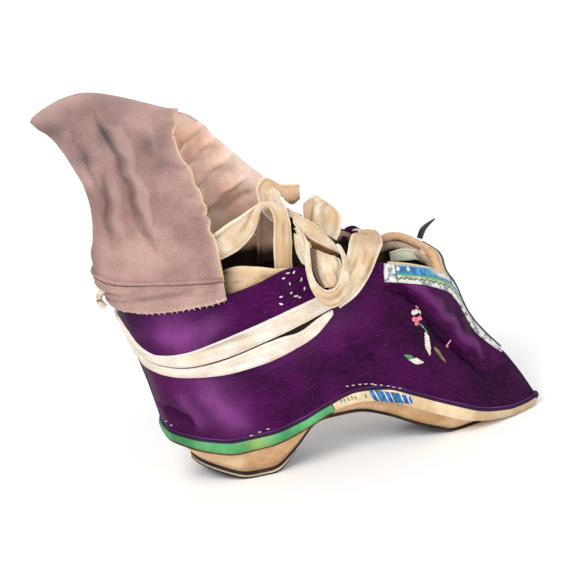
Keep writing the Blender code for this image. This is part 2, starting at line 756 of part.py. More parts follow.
def make_horn_tab():
    line = flow(HORN, np.linspace(0, len(HORN) - 1, 7))
    sides = 8
    run = unit(np.gradient(line[:, :3], axis=0))
    lines = []
    for k in range(sides):
        turn = 2 * math.pi * k / sides
        flat = unit(np.cross(run, (0, 1, 0)))
        offset = math.cos(turn) * flat + 0.6 * math.sin(turn) * np.array((0.0, 1.0, 0.0))
        lines.append(line[:, :3] + offset * line[:, 3:])
    return piece("horn_tab", "horn", rail(lines))


def make_tapes():
    make_wraps()
    make_strip("tape_crossing", CROSSING, steps=2)
    make_strip("near_tie", NEAR_TIE)
    make_strip("far_tie", FAR_TIE)
    make_strip("near_loop", NEAR_LOOP)
    make_strip("pointed_end", POINTED_END)
    make_strip("cut_end", CUT_END)
    make_knot()


def main():
    make_upper()
    make_sole()
    make_tread()
    make_heel_lift()
    make_insole()
    make_rands()
    make_throat_trim()
    make_collar_lining()
    make_cuff_band()
    make_cuff()
    make_horn_tab()
    make_tapes()


for old in list(bpy.data.objects):
    bpy.data.objects.remove(old, do_unlink=True)
shoe = bpy.data.collections.new("lotus_shoe")
bpy.context.scene.collection.children.link(shoe)
main()
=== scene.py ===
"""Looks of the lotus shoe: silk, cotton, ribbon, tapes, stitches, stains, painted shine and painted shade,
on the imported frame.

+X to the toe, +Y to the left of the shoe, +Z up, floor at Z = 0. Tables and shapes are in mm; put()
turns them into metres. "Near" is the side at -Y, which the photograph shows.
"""

import math

import bmesh
import bpy
import numpy as np
from mathutils import Matrix, Vector
from mathutils.bvhtree import BVHTree


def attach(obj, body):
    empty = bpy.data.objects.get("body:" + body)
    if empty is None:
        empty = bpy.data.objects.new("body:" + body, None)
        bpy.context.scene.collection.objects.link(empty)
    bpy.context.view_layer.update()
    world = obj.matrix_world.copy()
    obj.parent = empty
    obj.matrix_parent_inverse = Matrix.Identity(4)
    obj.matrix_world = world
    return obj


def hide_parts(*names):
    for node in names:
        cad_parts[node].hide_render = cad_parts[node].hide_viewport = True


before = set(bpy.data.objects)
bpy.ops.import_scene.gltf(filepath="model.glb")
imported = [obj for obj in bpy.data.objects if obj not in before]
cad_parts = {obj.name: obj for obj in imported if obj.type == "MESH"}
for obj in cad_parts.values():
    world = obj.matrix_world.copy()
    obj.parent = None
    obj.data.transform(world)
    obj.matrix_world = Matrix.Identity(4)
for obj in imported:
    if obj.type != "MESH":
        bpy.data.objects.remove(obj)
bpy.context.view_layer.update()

MM = 0.001
# The part's driving sizes, gaps and thicknesses
LENGTH, HEEL_BACK, BALL_WIDTH, HEEL_HEIGHT, INSTEP_HEIGHT = 141.0, -32.5, 36.0, 18.5, 83.5
FIT, UPPER_WALL, LINING_WALL, CUFF_WALL, TRIM_WALL = 0.3, 1.6, 0.9, 1.1, 0.7
TREAD_THICK, LIFT_THICK, INSOLE_THICK, TAPE_WALL = 1.0, 1.3, 2.2, 1.1
RAND_PROUD, RAND_INSIDE, SOLE_RECESS = 0.9, 3.2, 1.3
# Step in rows or shares over which directions are measured, and the turn to the other side
NUDGE, MIRROR = 0.02, (1, -1, 1)

# The solids' sections, as in the part: edge and top in shares of the driving sizes, handles in mm
SECTIONS = (
    (0, 0, 131, -9.3, 0, 94, -1.5, -1.8), (0.9, 38.9, 124, -7.6, 47.2, 93.7, -1.2, -0.8),
    (4.3, 72.2, 117, -2.5, 80.6, 93.2, -0.2, 2.5), (9.9, 97.2, 107.6, 5.7, 101, 92.7, 1.5, 5),
    (17, 111, 100.5, 16, 111, 92.5, 3.5, 4.5), (25.9, 111, 101.6, 27.3, 114, 95.2, 4, 4),
    (34.5, 104.4, 113, 37.2, 114, 99.6, 4, 3.5), (42.2, 95.6, 131, 47.2, 111, 97.6, 4, 3),
    (51, 91, 147.6, 57.1, 102.8, 94, 4.5, 3), (58.5, 95.6, 142.7, 64.5, 91.7, 90.5, 5, 4),
    (65.6, 98.9, 119, 71.3, 66.7, 84.8, 5, 6), (72, 94.4, 91.9, 77.3, 30.6, 77.2, 4.5, 7),
    (78, 86.1, 66.5, 81.3, 0, 68.7, 4, 7), (83.3, 71.1, 43.2, 84.4, 0, 51.5, 3.5, 6),
    (88.3, 53.3, 28.1, 88.4, 0, 39.5, 3, 5), (93.5, 33.3, 18.4, 92.6, 0, 29.7, 2, 3.5),
    (97.2, 16.7, 16.8, 96.3, 0, 18.6, 1, 1.8), (99.1, 6.7, 17.3, 98.8, 0, 9.6, 0.4, 0.6),
    (100, 0, 17.8, 99.9, 0, 5.5, 0, 0),
)
# Rows where the ridge starts and where the toe ends, and how many are mirrored behind the heel
RIDGE, TIP, MIRRORED_ROWS = 12, len(SECTIONS) - 1, 2
# Line under the sole: X, half width, Z
GROUND = (
    (-23.5, 0, 7.2), (-22.4, 4.5, 6.7), (-19, 9, 5.3), (-13, 12.2, 2.8), (-4.5, 14, 0), (5, 14, 0),
    (14, 12.8, 6.8), (25, 11.6, 16.6), (38.5, 11.4, 16.9), (50, 12, 13.2), (60, 12.2, 7.6),
    (68.5, 11, 3.2), (76, 9, 0), (84, 6.5, 0), (90, 4, 0.1), (96.5, 2.2, 0.3),
)
# Height of the bound edge row by row, the row where cream follows green, and its shape at the toe
RAND_ROWS = (0, 2, 3, 4, 5, 6, 7, 8, 9, 12, 13, 15, 18)
RAND_HIGH = (3, 3.6, 4.3, 4.8, 4.4, 3.6, 3.2, 4.4, 4.9, 4.6, 3.8, 2.8, 2.3)
RAND_SPLIT, RAND_NOSE, NOSE_HOLLOW = 7.15, 14.4, 2.3
# Last rows of the layers underneath, where the lift gives way, and how far corners are rounded
SOLE_END, TREAD_END, LIFT_END, LIFT_FADE, CORNER_REACH = 14.9, 13.6, 6, (5.2, 6.5), 0.38
# Row, then depth below the throat's edge
TRIM = (
    (8.7, 6.8), (9.5, 6.8), (10.5, 6.8), (11.3, 6.9), (12, 7.2), (12.7, 6.4), (13.4, 5), (14.2, 3.2),
    (14.9, 1.6),
)
# Row, height above the topline, depth below it
LINING = (
    (0, 1, 14), (2, 1.5, 14), (3.6, 5, 14), (4.5, 9, 14), (5.1, 6, 14), (5.7, 1, 14), (6.4, -1.5, 14),
    (7.6, -2, 12),
)
# Row, lower edge and upper edge from the topline
BAND = (
    (-5.9, -2.5, 4.5), (-4.5, -2.5, 5.5), (-2.5, -2.5, 8), (0, -2.5, 9.5), (2.5, -2.4, 7.5),
    (3.6, -2, 6.2), (4.3, -1.2, 5.2),
)
# Level by level, X Y Z of the near front, near side, back, far side and far front
CUFF = (
    (-5.5, -17.5, 95.2, -27.5, -17, 96, -49.6, 0, 96, -18, 18, 95, 25.5, 15.5, 97),
    (-6.8, -15.6, 103.3, -27, -15.4, 103.5, -47.6, 0, 103, -18, 16, 103, 23, 13, 103.5),
    (-7.8, -14.3, 114.7, -27.5, -13.8, 115.5, -47, 0, 115, -20, 14, 115, 13, 11.5, 116),
    (-11.8, -13, 128.7, -31, -12, 130, -49.8, 0, 128, -24, 10.5, 127, 3.6, 9, 128.5),
    (-14.9, -12, 139.6, -37, -10, 145, -56, 0, 141.5, -30, 7, 139, -1.5, 7, 136.5),
    (-12.3, -10.5, 150.6, -45, -7, 162.8, -64.9, 0, 153, -36, 3, 153, -7, 4.5, 142),
)
# Row, then Z of the upper tape's edges and of the lower tape's
WRAP = (
    (-7, 74.5, 66, 65.3, 59.5), (-5, 73.5, 65, 64.3, 58.5), (-3, 73, 66, 65.3, 60.5),
    (-1.5, 72.3, 67, 66.3, 61.5), (-0.5, 70.5, 65.5, 64.8, 60), (0.4, 67, 61.5, 60.8, 56),
    (1.2, 60.5, 56.5, 55.8, 52), (2, 57.4, 53.8, 53.1, 49.8), (3, 58.4, 52.8, 52.1, 48.2),
    (4, 61.4, 54.2, 53.5, 47.8), (5, 65, 57.4, 56.7, 49.2), (6, 68.4, 60.8, 60.1, 52.6),
    (7.1, 72, 65, 64.3, 57.6),
)
# Pieces of the two tapes: name, node, WRAP's columns for the upper and lower edge, seed
WRAPS = (("upper_wrap", "heel_tape_upper", 1, 2, 41), ("lower_wrap", "heel_tape_lower", 3, 4, 42))

# Strips of tape, each between two edges: first x y z, second x y z
CROSSING = (
    (31.5, -23.4, 71.5, 36, -23.4, 65), (34.5, -23.3, 75.5, 43, -22.8, 68.6),
    (39, -22.3, 80, 49, -21.3, 74.5), (42.5, -18.5, 84.5, 54, -17.5, 80.5),
    (44.5, -12, 85, 57, -11, 81), (47.5, -3, 84.3, 58.5, -3, 79), (51, 5, 81, 60, 5.5, 76),
    (52.8, 12, 78.3, 60.8, 12.5, 75), (52, 17.2, 77.2, 59.8, 17.4, 74.8),
    (49, 21.3, 74.8, 56.5, 20.9, 70.6), (42.5, 22.6, 74.6, 50, 22, 68.6),
    (34.5, 23.3, 75, 42.5, 22.8, 68.2), (31.5, 23.4, 71.5, 36, 23.4, 65),
)
NEAR_TIE = (
    (13.8, -16.6, 72, 23.2, -16.6, 72), (14.9, -16.2, 82, 21.7, -16.2, 82.5),
    (15.6, -15.6, 90, 22.7, -15.6, 90.4), (16.7, -14.4, 96.1, 23.4, -14.4, 96.6),
    (17.7, -12.6, 101.1, 23.5, -12.4, 100.2), (17, -11.2, 104.3, 22.2, -11, 103.6),
    (15.7, -10.6, 105.4, 19.3, -10.4, 106.1), (13.7, -10.6, 104.3, 14.6, -10.4, 107.4),
    (12, -10.9, 100.2, 10, -10.6, 105.9), (9.4, -11.4, 95.8, 5.7, -11, 104),
    (4.4, -12.2, 92, 0.8, -11.6, 102.4), (0.4, -12.8, 90.4, -3.7, -12.2, 100.4),
    (-5, -13, 88.9, -7.4, -12.6, 98.8),
)
FAR_TIE = (
    (14, 16.6, 72, 24, 16.6, 72), (15, 16, 83, 25, 16, 82), (16, 12.4, 93.5, 28, 12, 86),
    (19.5, 5, 101, 28.5, 4, 90), (24.3, -4.5, 101, 24.5, -5.5, 96), (26.2, -5.8, 99.6, 25.7, -8, 96),
    (29.5, -6.6, 97.6, 28.4, -8.6, 94.6),
)
CUT_END = (
    (27.5, -9.2, 93, 25.8, -9.6, 98.8), (20.5, -6.8, 95, 24.4, -7.4, 99.4),
    (14.7, -6.2, 102, 24, -6.6, 102.2), (13.9, -5, 108.6, 22.9, -5.4, 105.9),
    (14.4, -4.2, 111.6, 22.6, -4.6, 108.6), (17, -3.8, 114.3, 22.9, -4.9, 106.6),
    (19.5, -4, 113.8, 24.3, -5.4, 104.6), (22.4, -4.4, 111.4, 25.4, -5.8, 102.6),
    (25.5, -4.4, 110.3, 27.2, -5.6, 102.2), (30.3, -4, 109.2, 29.6, -5, 103.4),
)
POINTED_END = (
    (29, -8.4, 96.8, 40.6, -8.8, 85.8), (30.4, -7.6, 99.6, 42.6, -8.2, 89),
    (31, -6.8, 102.2, 43.9, -6.9, 94), (32.6, -6.2, 103.4, 41.6, -6.3, 98.2),
    (34.8, -6, 104.5, 36.6, -6.1, 103.5),
)
POINTED_FLAP = (
    (29.6, -8.6, 97.3, 32.6, -9.4, 92.6), (29.8, -7.8, 100, 33, -8.9, 96),
    (30.4, -7.2, 102.3, 33.9, -7.9, 100), (32.9, -6.9, 103.6, 34.6, -7.3, 103),
)
KNOT_BAND = (
    (25.2, -9.6, 100.6, 24.8, -12.5, 97.6), (28, -11.6, 99.4, 26.6, -15.8, 95.5),
    (30.7, -12.6, 97.5, 29.1, -17, 92.6), (33.5, -13, 94.8, 32, -17.3, 89.9),
    (35.8, -13.2, 91.2, 34.7, -17.2, 87.8), (38.5, -13.2, 87.2, 37.6, -16.6, 85.4),
    (40.8, -13.2, 83.2, 40.3, -15.4, 82.9),
)
KNOT_UNDER = (
    (27.3, -16.6, 95, 28.1, -15.8, 91.6), (30.3, -17.4, 91.6, 30.1, -16, 88.2),
    (33.7, -17.5, 88.8, 33.8, -16, 84.9), (36.8, -17, 86.3, 37, -15.8, 83.2),
    (39.6, -15.9, 83.9, 39.6, -15.2, 82.8),
)
NEAR_LOOP = (
    (26.4, -16.4, 97.3, 24.4, -15.4, 99), (27.4, -18.9, 93.9, 25.6, -18.2, 96),
    (28, -21.4, 90.8, 25.8, -21.4, 92.5), (27.7, -23.2, 86.6, 25.4, -23.4, 87.1),
    (27.4, -24.6, 82.3, 25.1, -25, 82.2), (28.2, -25.6, 78.4, 25.9, -26.4, 75.8),
    (30.2, -26.4, 75.5, 28.4, -27.4, 70.6), (32.5, -26.6, 74.4, 31.6, -28, 67.8),
    (35.2, -26.2, 75.3, 36.2, -27.2, 68.6), (37.4, -25.6, 78.4, 39.6, -26.2, 73.2),
    (39.1, -24.2, 82.3, 40.9, -24.4, 79.2), (39.4, -21.8, 85.8, 40.9, -21.8, 84.6),
    (38.8, -18, 88.2, 40.2, -17.6, 87.2),
)
LOOP_INSIDE = (
    (28.9, -17.9, 88.8, 39.2, -19, 82.4), (28.5, -19.6, 86, 39.3, -20.8, 81),
    (28.3, -21, 82, 38.6, -22.4, 79), (28.9, -22.6, 78.2, 37.4, -23.8, 76.6),
    (30.4, -24.2, 74.8, 35.2, -24.9, 74.4),
)
SMALL_FOLD = (
    (24.1, -14.6, 94.6, 26.9, -16, 92.6), (23.6, -16.4, 91.1, 27, -18.4, 89.2),
    (23.5, -18.4, 88, 26.6, -20, 85.5), (24.6, -20.6, 84.6, 26.4, -21.6, 83),
)
SECOND_FOLD = (
    (24.6, -14, 96.4, 25.4, -14.5, 93.4), (27, -15.5, 94.8, 26.7, -16.2, 91.2),
    (29, -16.6, 92, 27.8, -17.4, 88.6), (29.7, -17.2, 88.6, 28.2, -18, 86.4),
)
# A dark sheet of painted shadow behind the knot's folds
KNOT_SHADOW = (
    (23.8, -9.8, 99, 30, -9.6, 96.5), (23.9, -10.4, 92, 31, -10.6, 90), (24, -12, 86, 30, -12.4, 84),
    (24.2, -14.4, 79, 28, -14.6, 78),
)
# Inside the far side of the throat: its facing and a pale patch
FACING = (
    (75.4, 8, 69.5, 73.9, 8, 67.7), (78.6, 7.5, 66.9, 74.7, 7, 63.8), (81.5, 6.5, 60.6, 76, 6, 61.4),
    (83.5, 5, 55.6, 78.8, 5, 59), (85, 3.5, 51.5, 82.7, 3.5, 55.8),
)
PALE_PATCH = (
    (62.7, 9, 69.1, 62.7, 9, 65.3), (67.8, 9, 69.4, 68, 8.6, 64.6), (72.6, 8.6, 67.7, 72.4, 8.2, 64.1),
    (74.8, 8, 65, 74.7, 7.8, 62.4),
)

# Troughs (depth below 0) and ridges of the upper: side (-1 near, 1 far, 0 both), width, height, then
# the line's points in X and Z
UPPER_CREASES = (
    (0, 1.3, -2.4, ((50.7, 68.6), (57.2, 66.2), (63.9, 61.7), (68.2, 56.4), (71, 49.6), (74, 43.6),
        (78.2, 36.2), (83.6, 28.1), (89.2, 21.6))),
    (0, 2, 1.7, ((53.5, 71), (61, 68.4), (67.6, 63.4), (72.6, 56.4), (79.4, 43), (85.6, 33), (92, 23))),
    (0, 8, -1.2, ((48, 60), (58, 54), (66, 44), (74, 33))),
    (0, 5, 0.7, ((44, 44), (58, 36), (74, 26))),
    (-1, 1.2, -1.4, ((-33.3, 34.8), (-26.3, 29.9), (-23.4, 24.1))),
    (-1, 2, 1.2, ((-27.3, 40), (-21.6, 31.9), (-18.7, 25))),
    (-1, 4, 0.5, ((-18.8, 43.7), (-12.3, 33.5))),
    (-1, 3.6, -0.4, ((-12, 46), (-6, 36), (0, 28))),
    (-1, 5, 0.5, ((-9.3, 31.6), (-1.9, 23.9))),
    (-1, 1.6, -0.35, ((5, 44), (18, 34), (28, 31))),
    (-1, 1.4, -0.4, ((36, 66), (45, 60), (52, 50))),
    (-1, 1.4, -0.3, ((40, 52), (52, 42), (64, 34))),
    (0, 1.2, -0.35, ((92, 18), (99, 14), (103, 9))),
    (0, 1.4, 0.4, ((97, 18.5), (102, 12), (105, 8))),
    (1, 2.4, -0.7, ((-20, 44), (-8, 36), (4, 33))),
    (1, 2, -0.5, ((22, 60), (36, 50), (46, 38))),
)
# Painted highlight where the silk shines, in the same columns
PAINTED_SHINE = (
    (-1, 9, 0.3, ((-32, 80), (-24, 64), (-17, 44), (-8, 20))),
    (-1, 4, 0.3, ((-34, 67), (-26, 64), (-16, 66), (-6, 70))),
    (-1, 3.4, 0.35, ((-19.8, 44.7), (-13.3, 33.5), (-2.9, 21.9))),
    (-1, 2.2, 0.3, ((-28.3, 42), (-22.6, 32.9), (-19.7, 25))),
    (-1, 7, 0.15, ((2, 50), (24, 56), (44, 64))),
    (1, 8, 0.28, ((-40, 72), (-20, 50), (-8, 26))),
)
# The cuff's, in the same columns
CUFF_CREASES = (
    (-1, 1.5, -1.25, ((-43.5, 157.3), (-41.5, 150.6), (-37.3, 141.6), (-34.9, 127.3), (-32.3, 111.4),
        (-29.2, 101.1), (-25.6, 94.7))),
    (-1, 2.6, 0.9, ((-38.5, 152.6), (-33.3, 141.6), (-30.5, 127.3), (-28, 111.4), (-25.2, 102.1))),
    (-1, 1.6, -0.9, ((-51.6, 148.7), (-48.5, 139.5), (-45.2, 127.4), (-43.5, 119))),
    (-1, 1.3, -1.1, ((-42, 131.3), (-42, 120), (-42.6, 109.8), (-43.6, 99.8))),
    (-1, 2.2, 0.6, ((-39, 127.3), (-38.6, 114), (-38.5, 102.8))),
    (-1, 1.2, -0.6, ((-25.1, 121.2), (-27.2, 115), (-26.7, 106))),
    (-1, 1.1, -0.6, ((-20.5, 131.7), (-15.5, 128.5), (-11.5, 127))),
    (-1, 1.3, -0.5, ((-17, 118.5), (-12.5, 116), (-8.5, 115.5))),
    (-1, 1.2, -0.5, ((-14, 108.5), (-8, 107.5))),
    (-1, 2.6, 0.6, ((-33, 154), (-25, 146), (-20, 134))),
    (-1, 1.8, -0.4, ((-22, 104), (-14, 98), (-9, 95))),
    (1, 1.3, -1, ((-1, 136), (-8, 130), (-14, 121))),
    (1, 2, 0.9, ((1.5, 133), (-6, 127), (-13, 117.5))),
    (1, 1.3, -1, ((3.5, 129), (-4.5, 123), (-12, 113))),
    (1, 2.2, 0.9, ((6, 124.5), (-3, 118.5), (-10, 108.5))),
    (1, 1.4, -1.1, ((8.5, 119.5), (-1, 113.5), (-8.5, 103))),
    (1, 2, 0.9, ((10.5, 114.5), (2, 109), (-5.5, 99))),
    (1, 1.4, -1, ((13, 109), (5, 104), (-2.5, 95))),
    (1, 1.8, 0.8, ((15.5, 103), (8.5, 98.5), (2, 92))),
    (1, 2.4, -0.9, ((-30, 148), (-30, 126), (-32, 104))),
    (1, 2.6, 0.8, ((-22, 140), (-20, 120), (-22, 98))),
)
# Stitches that fasten the ties, near side and mirrored: X, Z and slant in degrees
TIE_STITCHES = (
    (16.9, 80.4, 10), (19, 77.8, 85), (23.5, 78.4, 60), (24.2, 74.7, 80), (19, 74.2, 40), (15, 73.5, 5),
    (21.9, 71.8, -20), (14.6, 70.7, -25), (21.1, 81.8, 50), (18.9, 82, 0), (20.6, 72.6, 0),
)


# Stitches along the edge at the heel (X, Y, Z) and at the forefoot (X, Z)
HEEL_STITCHES = (
    (-31.9, -7.1, 26.9), (-30.5, -9.2, 25.8), (-3.1, -20.3, 20.2), (0.2, -20.4, 21), (3.6, -20.5, 21.5),
)
FORE_STITCHES = (
    (35.7, 30.9), (38, 30.6), (40.6, 30.3), (42.8, 30), (45.1, 29.5), (46.3, 28.9), (48.5, 28.3),
    (51, 27.5), (53.1, 26.7), (55.3, 25.9),
)
# The block of blue threads on the bound edge: its outline, where it lies in Y
EDGE_BLOCK = ((43.8, 27.4), (57.8, 23.8), (59.4, 19.6), (55, 18.6), (50, 20.4), (45.4, 22.8))
EDGE_Y = -17.6
# Looks of the block's threads in turn, as places in its list of looks
EDGE_TURNS = (0, 0, 0, 1, 0, 0, 2, 0, 0, 0, 1)
# Petals: X, Y, Z and place of the look; the stem's points; leaves: outline, Y, slant, look
FLOWER = (
    (64.3, -18.1, 54.7, 1), (65.5, -17.8, 54.9, 1), (66.7, -17.1, 56.6, 0), (67.7, -16.9, 54.1, 1),
    (64.2, -18.6, 52.1, 0), (65.5, -18.3, 51.7, 0), (66.8, -17.7, 52, 0), (65, -18.5, 50.2, 0),
)
STEM = ((65.1, -18.4, 50.7), (66.6, -18.1, 49.1), (68, -17.7, 46.9), (68.9, -17.5, 45))
LEAVES = (
    (((67.9, 45.9), (69.3, 43.7), (69.5, 39.2), (68.3, 36.2), (67.1, 40), (67.5, 43.2)), -17.9, 60, 1),
    (((70.4, 38.8), (72.5, 36.6), (74.4, 31.6), (72.6, 33.7), (71.2, 36.2)), -16.5, 50, 3),
    (((58.4, 39.4), (60.8, 38.8), (61.4, 37.4), (59.8, 37.2)), -19.5, 60, 2),
    (((59.8, 37.2), (62.7, 37.1), (65.3, 34.6), (63, 34.4), (61.5, 35.1)), -19, 50, 1),
)
RIBBON_DOTS = ((60.6, -17.2, 73.3), (64.7, -15.5, 71.6))
# Spots on the cuff: X, Z, radius
STAINS = ((-57.9, 149.1, 4), (-39.8, 145.1, 4), (-25.5, 139.2, 4), (-21.2, 130.7, 3.5), (-48, 136, 4))
# The silk's main trough in X and Z
TROUGH_X = (30, 50.7, 57.2, 63.9, 68.2, 71, 78.2, 89.2)
TROUGH_Z = (60, 68.6, 66.2, 61.7, 56.4, 49.6, 36.2, 21.6)
# The dark tab's middle line and radius, the nub's middle line
DARK_TAB = ((75.2, 11.8, 71, 1.2), (76.8, 11.9, 74, 1.2), (78.8, 12, 75.6, 0.85), (82, 12.2, 77.4, 0.3))
TAPE_NUB = ((-45.8, -3.4, 82.4), (-48.6, -3.2, 81.6), (-49.8, -3, 78.6), (-48.2, -3, 75.6))
SILK_CURL = (
    (47.1, 18, 76.5, 47, 16, 73.4), (49.3, 20, 77.5, 48.7, 17, 74.6), (52.3, 21, 77.2, 51.2, 18, 75.6),
    (54.5, 21, 75.7, 52.8, 18, 73.8),
)
# Lamps: name, place in m, size in m, power in W
LAMPS = (
    ("key", (-0.8, -1.0, 1.4), 0.8, 23.0),
    ("fill", (1.1, -1.2, 0.8), 0.9, 13.0),
    ("back", (0.2, 1.4, 1.4), 1.0, 9.0),
)
LAMP_AIM = (0.03, 0, 0.07)
# The camera: its right and forward ways, then in mm the point it looks at before two shifts, and its
# distance; film width, focal length and the end of its sight
VIEW_RIGHT, VIEW_AHEAD = (0.970, -0.208, -0.126), (0.143, 0.907, -0.397)
VIEW_POINT, SHIFT_RIGHT, SHIFT_UP, VIEW_AWAY = (-25.3, 39.0, 79.8), 53.98, -15.72, 4000
FILM_WIDTH, FOCAL_LENGTH, VIEW_END = 36, 675, 20
# The floor's corners in m, and the strength of the white light from all round
FLOOR = ((-4, -4, 0), (4, -4, 0), (4, 8, 0), (-4, 8, 0))
WORLD_LIGHT = 0.55


def glide(table, places):
    """A smooth line through the table's rows that never overshoots them; places count rows."""
    table = np.asarray(table, float)
    places = np.asarray(places, float)
    step = np.diff(table, axis=0)
    product = step[:-1] * step[1:]
    total = np.where(product > 0, step[:-1] + step[1:], 1.0)
    slope = np.zeros_like(table)
    slope[1:-1] = np.where(product > 0, 2 * product / total, 0.0)
    slope[0], slope[-1] = step[0], step[-1]
    row = np.clip(np.floor(places).astype(int), 0, len(table) - 2)
    t = (places - row)[:, None]
    start = (1 + 2 * t) * (1 - t) ** 2 * table[row] + t * (1 - t) ** 2 * slope[row]
    end = t * t * (3 - 2 * t) * table[row + 1] - t * t * (1 - t) * slope[row + 1]
    return start + end


def flow(table, count):
    """A smooth line of this many points through every row of the table, rounder than glide's."""
    table = np.asarray(table, float)
    places = np.linspace(0, len(table) - 1, count)
    padded = np.vstack([2 * table[0] - table[1], table, 2 * table[-1] - table[-2]])
    row = np.clip(np.floor(places).astype(int), 0, len(table) - 2)
    t = (places - row)[:, None]
    a, b, c, d = (padded[row + i] for i in range(4))
    return 0.5 * (2 * b + (c - a) * t + (2 * a - 5 * b + 4 * c - d) * t**2 + (3 * b - a - 3 * c + d) * t**3)


def section_table():
    """The sections in mm, after the mirrored ones that carry the line round the heel."""
    rows = np.array(SECTIONS)
    for along in (0, 3):
        rows[:, along] = HEEL_BACK + rows[:, along] * LENGTH / 100
    for wide in (1, 4):
        rows[:, wide] *= -BALL_WIDTH / 200
    rows[:, 2] *= HEEL_HEIGHT / 100
    rows[:, 5] *= INSTEP_HEIGHT / 100
    return np.vstack([rows[MIRRORED_ROWS:0:-1] * (1, -1, 1, 1, -1, 1, 1, 1), rows])


SECTION_MM = section_table()


def section(rows):
    """The sections' values at these rows: edge X Y Z, top X Y Z and the two handles."""
    return glide(SECTION_MM, rows + MIRRORED_ROWS)


def around(rows):
    """The sections' values just ahead of these rows and just behind them."""
    return section(np.minimum(rows + NUDGE, TIP)), section(rows - NUDGE)


def unit(vectors):
    return vectors / np.maximum(np.linalg.norm(vectors, axis=-1, keepdims=True), 1e-9)


def ease(values, start, finish):
    """0 at start and 1 at finish, and smooth between them."""
    t = np.clip((np.asarray(values, float) - start) / (finish - start), 0, 1)
    return t * t * (3 - 2 * t)


def peak(values, middle, width):
    """A bell, 1 high at the middle."""
    return np.exp(-(((values - middle) / width) ** 2))


def distances(line):
    """How far along the line each of its points lies."""
    return np.concatenate([[0], np.cumsum(np.linalg.norm(np.diff(line, axis=0), axis=1))])


def side(rows, shares):
    """Points of the near side's outer face, at shares of its height."""
    values = section(rows)
    ahead, behind = around(rows)
    edge, top = values[:, :3], values[:, 3:6]
    forward = (ahead - behind)[:, :3] + (ahead - behind)[:, 3:6]
    outward = unit(np.cross(forward, top - edge))
    outward = np.where(outward[:, 1:2] > 0, outward * MIRROR, outward)
    v = shares[:, :, None]
    bow = 3 * (1 - v) ** 2 * v * values[:, None, 6:7] + 3 * (1 - v) * v * v * values[:, None, 7:8]
    return edge[:, None] + (top - edge)[:, None] * v + outward[:, None] * bow


def skin(places, shares, out=0.0):
    """Points of the upper's outer face moved out, at places that are below 0 on the far side."""
    places = np.asarray(places, float)
    rows = np.abs(places)
    shares = np.asarray(shares, float)
    if shares.ndim == 1:
        shares = np.broadcast_to(shares, (len(rows), len(shares)))
    points = side(rows, shares)
    ahead, behind = side(np.minimum(rows + NUDGE, TIP), shares), side(rows - NUDGE, shares)
    above, below = side(rows, shares + NUDGE), side(rows, shares - NUDGE)
    normal = unit(np.cross(ahead - behind, above - below))
    on_plane = (np.abs(points[..., 1]) < 1e-6)[..., None]
    flat = unit(normal * (1, 0, 1))
    even = np.minimum(1 / np.maximum((normal * flat).sum(-1, keepdims=True), 0.1), 2.0)
    out = np.asarray(out, float)
    out = out[..., None] if out.ndim else out
    points = points + out * np.where(on_plane, flat * even, normal)
    points[places < 0] *= MIRROR
    return lean(points)


def lean(points):
    """The far side of the throat leans forward, and the tape pulls its topline down."""
    x, y, z = points[..., 0], points[..., 1], points[..., 2]
    far = ease(y, 0, 9)
    x = x + 5.5 * far * ease(z, 48, 66) * ease(x, 50, 66)
    dip = 4.8 * far * ease(z, 56, 74) * peak(x, 57, 6)
    return np.stack([x, y, z - dip], -1)


def side_height(places):
    """Height of the upper's wall, measured along it."""
    values = section(np.abs(np.asarray(places, float)))
    return np.linalg.norm(values[:, 3:6] - values[:, :3], axis=1)


def by_place(table, column, places):
    """A column of the table at places that its first column counts."""
    table = np.asarray(table, float)
    index = np.interp(places, table[:, 0], np.arange(len(table)))
    return glide(table, index)[:, column]


def across(low, high, count):
    """Shares from low to high, a row of them for each place."""
    return np.linspace(low, high, count).T


def ring(rows, out, up):
    """The upper's lower edge moved outwards and, square to its run, upwards."""
    rows = np.asarray(rows, float)
    ahead, behind = around(rows)
    run = unit((ahead - behind)[:, :3])
    outward = unit(np.cross(run * (1, 1, 0), (0, 0, 1)))
    upward = unit(np.cross(outward, run))
    upward = np.where(upward[:, 2:] < 0, -upward, upward)
    out = np.broadcast_to(out, len(rows))[:, None]
    up = np.broadcast_to(up, len(rows))[:, None]
    return section(rows)[:, :3] + out * outward + up * upward


def rand_high(rows):
    """Height of the bound edge."""
    return np.interp(rows, RAND_ROWS, RAND_HIGH)


def pulled_back(rows, last):
    """The rows, those past the ridge squeezed so that the tip's becomes last."""
    rows = np.asarray(rows, float)
    return np.where(rows > RIDGE, RIDGE + (rows - RIDGE) * (last - RIDGE) / (TIP - RIDGE), rows)


def ground(rows, raised):
    """The line underneath, its corners rounded over a good third of a row to either side."""
    rows = np.asarray(rows, float)
    reach = np.clip(np.minimum(rows, len(GROUND) - 1 - rows), 0, CORNER_REACH)
    table = np.array(GROUND) * MIRROR
    steps = np.linspace(-1, 1, 9)
    shares = np.cos(steps * math.pi / 2.2)
    line = sum(w * glide(table, rows + t * reach) for w, t in zip(shares / shares.sum(), steps))
    line[:, 2] += raised
    return line


def lift_room(rows):
    """Room that the heel's extra layer takes under the tread."""
    return (LIFT_THICK + FIT) * (1 - ease(rows, *LIFT_FADE))


def plate_rows(end, step=0.1):
    """Rows of the layers underneath, closer together at the back of the heel."""
    return np.concatenate([[0.02, 0.15, 0.3], np.arange(0.45, end, step), [end]])


def sole_top(rows):
    """Upper rim of the wooden sole."""
    return ring(rows, -SOLE_RECESS, -(rand_high(rows) + FIT))


def seated(line):
    """The line brought down onto the wooden sole."""
    top = sole_top(plate_rows(SOLE_END, 0.5))
    high = np.interp(line[:, 0], top[:, 0], top[:, 2]) + 1.5 * FIT
    line[:, 2] = np.where(line[:, 0] < top[-1, 0], high, line[:, 2])
    return line


